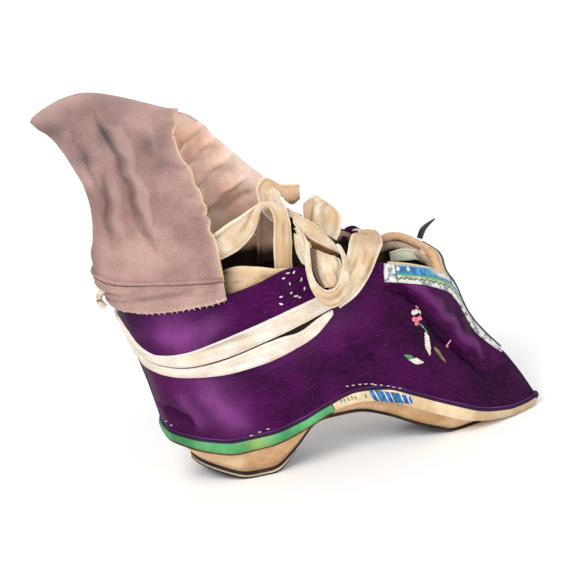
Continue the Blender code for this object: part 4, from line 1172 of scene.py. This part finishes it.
def make_cuff():
    grid = cuff_grid(131, 261)
    normal = facing(grid)
    if normal[60, 60, 1] > 0:
        normal = -normal
    u, v = np.linspace(0, 1, 131)[:, None], np.linspace(0, 1, 261)[None]
    z = grid[..., 2]
    # The front edge waves in and out
    wave = (0.45 + 0.25 * np.sin(z * 0.31)) * np.sin(z * 0.8 + 2.2 * np.sin(z * 0.17))
    wave = wave * np.exp(-v / 0.045) * ease(u, 0.05, 0.2)
    grid[..., 0] += wave
    grid[..., 1] += 0.9 * wave
    high = 1.35 * creases(grid, CUFF_CREASES) + 0.28 * ripple(grid * (1, 1, 0.5), 11, 31)
    high = (high + 0.10 * ripple(grid * (1, 1, 0.35), 3.2, 32)) * ease(u, 0, 0.06)
    middle = grid + normal * high[..., None]
    half = CUFF_WALL / 2 * (1 - 0.4 * (2 * v - 1) ** 20)[..., None]
    outer, inner = middle + normal * half, middle - normal * half
    # Lighter at both front edges and the top edge, with painted highlight on the crease ridges; painted
    # shade in the creases, the stains, and darker towards the top
    marks = {
        "rim": (2 * v - 1) ** 40 + 0.6 * u**30 + 0.45 * ease(high, 0.4, 1.0),
        "deep": 0.30 * ease(-high, 0.3, 1.4) + 0.34 * spots(grid, STAINS) + 0.2 * ease(z, 112, 150),
    }
    made = build("ankle_cuff", [MAUVE, PEACH], [solid(outer, inner, marks, 1)])
    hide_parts("cuff")
    hem = outer[:, 0] - normal[:, 0] * 0.3
    seam = outer[1] + (0, 0, 0.5)
    bundle("cuff_hem", [HEM, MAUVE], [tube(hem, 0.4), tube(seam, 0.8)], [0, 1])


def wall_z(places):
    """Z of the upper's lower edge, and its wall's rise from there."""
    values = section(np.abs(places))
    return values[:, 2], values[:, 5] - values[:, 2]


def make_wraps():
    """The two tapes round the heel."""
    places = np.concatenate([np.arange(-7.0, 7.0, 0.05), [7.1]])
    low, tall = wall_z(places)
    v = np.linspace(-1, 1, 21)[None]
    thick = TAPE_WALL * (1 - 0.7 * v**10)
    # The near end of the lower tape is rounded, and sags away from the upper tape
    turn = np.sqrt(1 - np.clip((places - 6.15) / 0.95, 0, 0.96) ** 2)
    lens = 1.8 * peak(places, 6.1, 0.45) / tall
    for name, node, top, bottom, seed in WRAPS:
        shares = across(*((by_place(WRAP, column, places) - low) / tall for column in (bottom, top)), 21)
        if node == "heel_tape_lower":
            upper, span = shares[:, -1:], shares[:, -1] - shares[:, 0]
            shares = upper - lens[:, None] + (shares - upper) * turn[:, None] * (1 - lens / span)[:, None]
        base = skin(places, shares)
        bunch = 0.25 + 0.5 * peak(base[..., 0], -8, 16)
        folds = bunch * ripple(base * (0.1, 0.1, 1), 2.6, seed) + 0.3 * v**6
        outer = on_silk(places, shares, FIT + thick + folds * (1 - v**16) * 0.8)
        inner = on_silk(places, shares, FIT / 2)
        # Painted shade in the folds and along a line near each edge; lighter at the edges
        deep = 0.4 * ease(-folds, 0.15, 0.8) + 0.22 * peak(np.abs(v), 0.72, 0.07)
        made = build(name, [WRAP_TAPE], [solid(outer, inner, {"rim": np.abs(v) ** 8, "deep": deep})])
        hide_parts(node)


def make_slit():
    """A dark sheet of painted shadow in the gap between the two heel tapes at their near end."""
    places = np.linspace(5.2, 6.8, 40)
    low, tall = wall_z(places)
    bottom = (by_place(WRAP, 3, places) - 2.6 * np.sin(np.linspace(0, math.pi, 40)) - low) / tall
    top = (by_place(WRAP, 2, places) + 0.6 - low) / tall
    shares = across(bottom, top, 5)
    build("wrap_gap", [SHADOW], [solid(on_silk(places, shares, 0.45), on_silk(places, shares, 0.1))])


def strip(
    name, table, fold, seed, look=TAPE, node=None, wide=15, fine=10, thick=0.95, cup=0.0,
    dark=0.0, dark_end=0.0, deep_below=None, slit=0.0, slant=0.0, warm=None,
):
    """A tape between the two edges that the table gives, with soft folds along it.

    fold and cup are heights, slant turns the folds. The strip gets painted shade in its folds and along a
    line near each edge; dark gives it all painted shade, slit the first edge, dark_end the last corner and
    deep_below all that lies lower; warm gives the shares where the warm tint, also painted shade, sets in.
    """
    line = flow(table, fine * (len(table) - 1) + 1)
    v = np.linspace(0, 1, wide)
    grid = between(line, v)
    normal = facing(grid)
    cloth = cloth_uv(grid)
    flat = np.stack([cloth[..., 0] * 0.16 + slant * cloth[..., 1], cloth[..., 1], 0 * cloth[..., 0]], -1)
    rim = np.abs(2 * v - 1)[None]
    bumps = fold * ripple(flat, 2.6, seed) * (1 - rim**8) + cup * (1 - rim**2)
    middle = grid + normal * bumps[..., None]
    half = (thick / 2 * (1 - 0.7 * rim**8) + 0.12 * peak(rim, 0.85, 0.1))[..., None]
    share = np.linspace(0, 1, len(line))[:, None]
    # Painted shade: in the folds, over the whole strip, at the slit, along a line near each edge, at the
    # last corner and below deep_below
    deep = dark + 0.4 * ease(-bumps, 0.1 * fold, 1.3 * fold) + slit * peak(v, 0, 0.24)
    deep = deep + 0.3 * peak(rim, 0.74, 0.06) + dark_end * ease(share, 0.62, 0.85) * v * v
    if deep_below:
        deep = deep + ease(grid[..., 2], deep_below, deep_below - 6)
    marks = {"rim": rim**8, "deep": np.clip(deep, 0, 1), "warm": ease(share, *warm) if warm else 0}
    made = build(name, [look], [solid(middle + normal * half, middle - normal * half, marks)])
    if node:
        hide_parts(node)
    return made


def declare_cord(table):
    """The line along the tape's middle and its length, worked out but not used."""
    line = flow(table, 61)
    path = (line[:, :3] + line[:, 3:]) / 2
    length = np.linalg.norm(np.diff(path, axis=0), axis=1).sum()


def make_tapes():
    strip("crossing", CROSSING, 0.22, 51, node="tape_crossing", wide=21, fine=16, warm=(0.1, 0.4))
    near = strip("near_leg", NEAR_TIE, 0.18, 52, node="near_tie", warm=(1.6, -0.6))
    strip("far_leg", FAR_TIE, 0.18, 53, SHADE_TAPE, "far_tie", deep_below=81.0)
    loop = strip("bow_loop", NEAR_LOOP, 0.2, 54, node="near_loop")
    strip("loop_inside", LOOP_INSIDE, 0.4, 55, slant=0.5, slit=0.9)
    strip("point_back", POINTED_END, 0.2, 56, node="pointed_end")
    # The flap gets painted shade and the warm tint all over, for its shaded facet
    strip("point_flap", POINTED_FLAP, 0.2, 57, dark=0.16, warm=(-1.0, -0.5))
    strip("cut_tape", CUT_END, 0.22, 58, node="cut_end", warm=(0.4, 0.75), dark_end=0.8)
    strip("knot_band", KNOT_BAND, 0.2, 59, node="knot", cup=0.7)
    # The knot's underside, darker still with painted shade
    strip("knot_under", KNOT_UNDER, 0.2, 60, UNDERSIDE_SHADE, dark=0.35)
    strip("small_fold", SMALL_FOLD, 0.25, 61, cup=0.5)
    strip("second_fold", SECOND_FOLD, 0.2, 62, cup=0.4)
    strip("throat_facing", FACING, 0.12, 64, FACE_TAPE, thick=0.6)
    strip("pale_patch", PALE_PATCH, 0.15, 65, PATCH, thick=0.5)
    # A dark sheet of painted shadow behind the knot
    strip("knot_shadow", KNOT_SHADOW, 0.1, 63, SHADOW)
    declare_cord(NEAR_TIE)
    declare_cord(NEAR_LOOP)


def section_sheet(name, looks, lines, node, slots=None, marks=None):
    """A piece from lines of points that run from the centre plane round one half and back."""
    grid = np.array(lines).transpose(1, 0, 2)
    rows, cols = grid.shape[:2]
    count = rows * cols
    quads = grid_faces(rows, cols)
    ends = [tuple(range(cols)), tuple(range(count - cols, count))]
    points = np.concatenate([grid.reshape(-1, 3), grid.reshape(-1, 3) * MIRROR])
    faces = quads.tolist() + (quads[:, ::-1] + count).tolist()
    faces += ends + [tuple(i + count for i in reversed(end)) for end in ends]
    which = np.zeros(len(quads)) if slots is None else np.tile(slots, rows - 1)
    which = np.concatenate([which, which, np.zeros(4)])
    uv = np.concatenate([cloth_uv(grid).reshape(-1, 2)] * 2)
    marks = doubled({"rim": 0, "deep": 0, **(marks or {})}, (rows, cols))
    made = put(name, looks, points, faces, which, uv, marks, weld=True, sharp=45)
    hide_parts(node)
    return made


def middle_line(line):
    """The line pressed onto the centre plane."""
    return line * (1, 0, 1)


def heel_marks(x):
    """Pale where the heel's binding is rubbed, dark towards its back."""
    return {"rim": 0.5 * peak(x, -1, 4.2), "deep": 0.15 * ease(-x, -20, 30)}


def fore_marks(x):
    """Darker towards the toe."""
    return {"deep": 0.3 * ease(x, 70, 100)}


def make_rand(name, look, rows, last, node, marks):
    """A length of the bound edge; marks() says how X shades it."""
    high, near = rand_high(rows), pulled_back(rows, last)
    hollow = np.interp(rows, (RIDGE, RIDGE + 2), (0, NOSE_HOLLOW))
    lines = [ring(near, -RAND_INSIDE, -FIT - hollow), ring(rows, -0.6, -FIT / 2)]
    for t in np.linspace(0, 1, 9):
        bulge = RAND_PROUD - 0.25 + 0.55 * math.sin(math.pi * (0.12 + 0.76 * t)) - 0.25 * t
        line = ring(rows, bulge, -0.15 - (high - 0.15) * t)
        lines.append(seated(line) if t > 0.99 else line)
    for line in lines[2:]:
        line += 0.07 * ripple(line * (1, 1, 0.3), 2.4, 71)[:, None] * (0, 1, 0.3)
    lines.append(seated(ring(near, -RAND_INSIDE, -rand_high(near))))
    for line in lines:
        line[:, 1] = np.minimum(line[:, 1], 0)
        for end in (0, -1):
            if rows[end] in (0, TIP):
                line[end, 1] = 0
    lines.append(lines[0])
    return section_sheet(name, [look], lines, node, marks=marks(np.array(lines)[..., 0].T))


def make_edges():
    """The bound edge between upper and sole, its embroidery and the brown line under it."""
    rows = np.concatenate([np.arange(0, RAND_SPLIT, 0.05), [RAND_SPLIT]])
    make_rand("heel_binding", GREEN, rows, TIP, "rand_heel", heel_marks)
    rows = np.concatenate([[RAND_SPLIT + 0.03], np.arange(7.2, TIP + 0.01, 0.1)])
    tree = surface(make_rand("fore_binding", EDGE, rows, RAND_NOSE, "rand_fore", fore_marks))
    parts = satin(tree, EDGE_BLOCK, EDGE_Y, -68, 0.42, 0.31)
    looks = [EDGE_TURNS[k % len(EDGE_TURNS)] for k in range(len(parts))]
    chance = np.random.default_rng(14)
    for x in np.arange(31.5, 43.0, 0.75):
        z = np.interp(x, (31.5, 43.8), (25.8, 25.6)) + chance.uniform(-0.4, 0.4)
        start, up = touch(tree, x, EDGE_Y, z + chance.uniform(0.3, 1.0))
        finish, _ = touch(tree, x + 0.3, EDGE_Y, z - 1.3)
        parts.append(stitch(start, finish, up, 0.24, 0.15))
        looks.append(int(chance.choice((1, 1, 2, 3))))
    bundle("edge_embroidery", [BLUE, WHITE, LEAF, THREAD], parts, looks)
    places = halves(np.arange(0, RAND_SPLIT + 0.01, 0.1))
    under = edge_line(places, RAND_PROUD - 0.6, -(rand_high(np.abs(places)) + 0.1))
    bundle("brown_line", [BROWN], [tube(under, 0.42)])


def make_bottom():
    """The covered sole, the tread, the heel's extra layer and the inner sole."""
    rows = plate_rows(SOLE_END)
    top, low = sole_top(rows), ground(rows, lift_room(rows) + TREAD_THICK + FIT)
    wall = []
    for t in np.linspace(0, 1, 15):
        line = top + (low - top) * t
        folds = 0.13 * ripple(line * (1, 1, 0.5), 5, 81) + 0.05 * ripple(line, 2.4, 82)
        line[:, 1] -= folds * ease(np.abs(line[:, 1]), 0.5, 5) * math.sin(math.pi * t)
        wall.append(line)
    lines = [middle_line(top), top * (1, 0.7, 1), *wall, low * (1, 0.7, 1), middle_line(low)]
    deep = 0.35 * ease(np.linspace(0, 1, len(lines)), 0.62, 0.86)
    section_sheet("covered_sole", [COVER], lines, "sole", marks={"deep": deep})

    rows = plate_rows(TREAD_END)
    low, high = ground(rows, lift_room(rows)), ground(rows, lift_room(rows) + TREAD_THICK)
    belly = (low + high) / 2 + (0, -0.15, 0)
    belly[0, 1] = 0
    section_sheet("outsole", [LEATHER], [middle_line(high), high, belly, low, middle_line(low)], "tread")

    rows = plate_rows(LIFT_END)
    low, high = ground(rows, 0), ground(rows, np.maximum(lift_room(rows) - FIT, 0.05))
    lines = [middle_line(high), high, low + (high - low) * 0.5, low, middle_line(low)]
    section_sheet("heel_piece", [PALE_LAYER, LEATHER], lines, "heel_lift", [0, 0, 1, 1])

    rows = np.concatenate([[0.05, 0.3], np.arange(0.6, RAND_NOSE - 0.6, 0.2)])
    low = seated(ring(rows, -RAND_INSIDE - 2 * FIT, 0))
    high = low + (0, 0, INSOLE_THICK)
    tops = [high * (1, s, 1) for s in (0, 0.25, 0.5, 0.75, 0.93)]
    for line in tops:
        line[:, 2] += 0.15 * ripple(line, 8, 91)
    section_sheet("inner_sole", [COVER], [*tops, high - (0, 0, 0.5), low, middle_line(low)], "insole")


def make_embroidery(upper):
    """The thread on the silk: running stitches, the ties' fastenings, flower, stem and leaves."""
    tree = surface(upper)
    reach = np.array((0.6, 0, -0.08))
    parts = []
    for x, y, z in HEEL_STITCHES + tuple((x, EDGE_Y, z) for x, z in FORE_STITCHES):
        middle, up = touch(tree, x, y, z)
        parts.append(stitch(middle - reach, middle + reach, up, 0.22, 0.25))
    bundle("running_stitches", [THREAD], parts)

    chance = np.random.default_rng(8)
    parts = []
    for x, z, slant in TIE_STITCHES:
        turn = math.radians(slant)
        for y in (-21.5, 21.5):
            reach = np.array((math.cos(turn), 0, math.sin(turn))) * chance.uniform(0.45, 0.8)
            middle, up = touch(tree, x, y, z)
            parts.append(stitch(middle - reach, middle + reach, up, 0.34, 0.3))
    bundle("tie_stitches", [WHITE], parts)

    groups = []
    for k, (x, y, z, look) in enumerate(FLOWER):
        groups.append((look, satin(tree, disc(x, z, 0.8, 0.95, 5.2, 7), y, 40 + 35 * k, 0.36, 0.24)))
    for first, second in zip(STEM, STEM[1:]):
        (start, up), (finish, _) = touch(tree, *first), touch(tree, *second)
        groups.append((2, [stitch(start, finish, up, 0.3, 0.15)]))
    for outline, y, slant, look in LEAVES:
        groups.append((look, satin(tree, outline, y, slant)))
    groups.append((0, satin(tree, disc(76.8, 37.4, 0.6, 0.6, 5.2, 6), -14.0, 0, 0.35)))
    parts = [part for _, some in groups for part in some]
    looks = [look for look, some in groups for _ in some]
    bundle("embroidery", [PINK, WHITE, LEAF, OLIVE], parts, looks)


def make_small():
    """The dark tab, the silk curled over at the throat and the tape's nub at the heel."""
    line = flow(DARK_TAB, 25)
    horn = bundle("dark_tab", [HORN_LOOK], [tube(line[:, :3], line[:, 3], 14, 0.6, (0, 1, 0))])
    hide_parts("horn_tab")
    grid = between(flow(SILK_CURL, 31), np.linspace(0, 1, 7))
    normal = facing(grid)
    # Painted shade, deeper towards the curl's lower, inner edge
    marks = {"deep": np.linspace(0, 0.8, 7), "worn": 0}
    build("silk_curl", [SILK], [solid(grid + normal * 0.4, grid - normal * 0.4, marks)])
    bundle("tape_nub", [THREAD], [tube(flow(TAPE_NUB, 13), 1.25, 10)])


def make_stage():
    """The floor, the lamps and the light from all round."""
    floor = bpy.data.meshes.new("floor")
    floor.from_pydata(FLOOR, [], [(0, 1, 2, 3)])
    paper = Look("paper", rough=0.9, specular=0.1)
    tone = paper.mix(paper.noise(paper.place(), 3.0, 3.0), rgb("f4f3f2"), rgb("fbfaf9"))
    floor.materials.append(paper.finish(tone))
    made = placed("floor", floor)
    for name, spot, size, power in LAMPS:
        lamp = bpy.data.lights.new(name, "AREA")
        lamp.size, lamp.energy = size, power
        holder = placed(name, lamp)
        holder.location = spot
        holder.rotation_euler = (Vector(LAMP_AIM) - Vector(spot)).to_track_quat("-Z", "Y").to_euler()
    world = bpy.data.worlds.new("world")
    world.use_nodes = True
    world.node_tree.nodes["Background"].inputs[0].default_value = (1.0, 1.0, 1.0, 1)
    world.node_tree.nodes["Background"].inputs[1].default_value = WORLD_LIGHT
    bpy.context.scene.world = world
    bpy.context.scene.view_settings.view_transform = "Standard"


def make_camera():
    right = unit(np.array(VIEW_RIGHT))
    ahead = np.array(VIEW_AHEAD)
    ahead = unit(ahead - right * (ahead @ right))
    up = np.cross(right, ahead)
    middle = np.array(VIEW_POINT) + SHIFT_RIGHT * right + SHIFT_UP * up
    lens = bpy.data.cameras.new("camera")
    lens.sensor_width, lens.lens, lens.clip_end = FILM_WIDTH, FOCAL_LENGTH, VIEW_END
    camera = placed("camera", lens)
    turn = Matrix(np.array([right, up, -ahead]).T.tolist()).to_4x4()
    camera.matrix_world = Matrix.Translation(Vector((middle - VIEW_AWAY * ahead) * MM)) @ turn
    bpy.context.scene.camera = camera


silk = make_upper()
make_piping()
make_trim()
make_roll()
make_lining()
make_band()
make_cuff()
make_wraps()
make_slit()
make_tapes()
make_edges()
make_bottom()
make_embroidery(silk)
make_small()
make_stage()
make_camera()
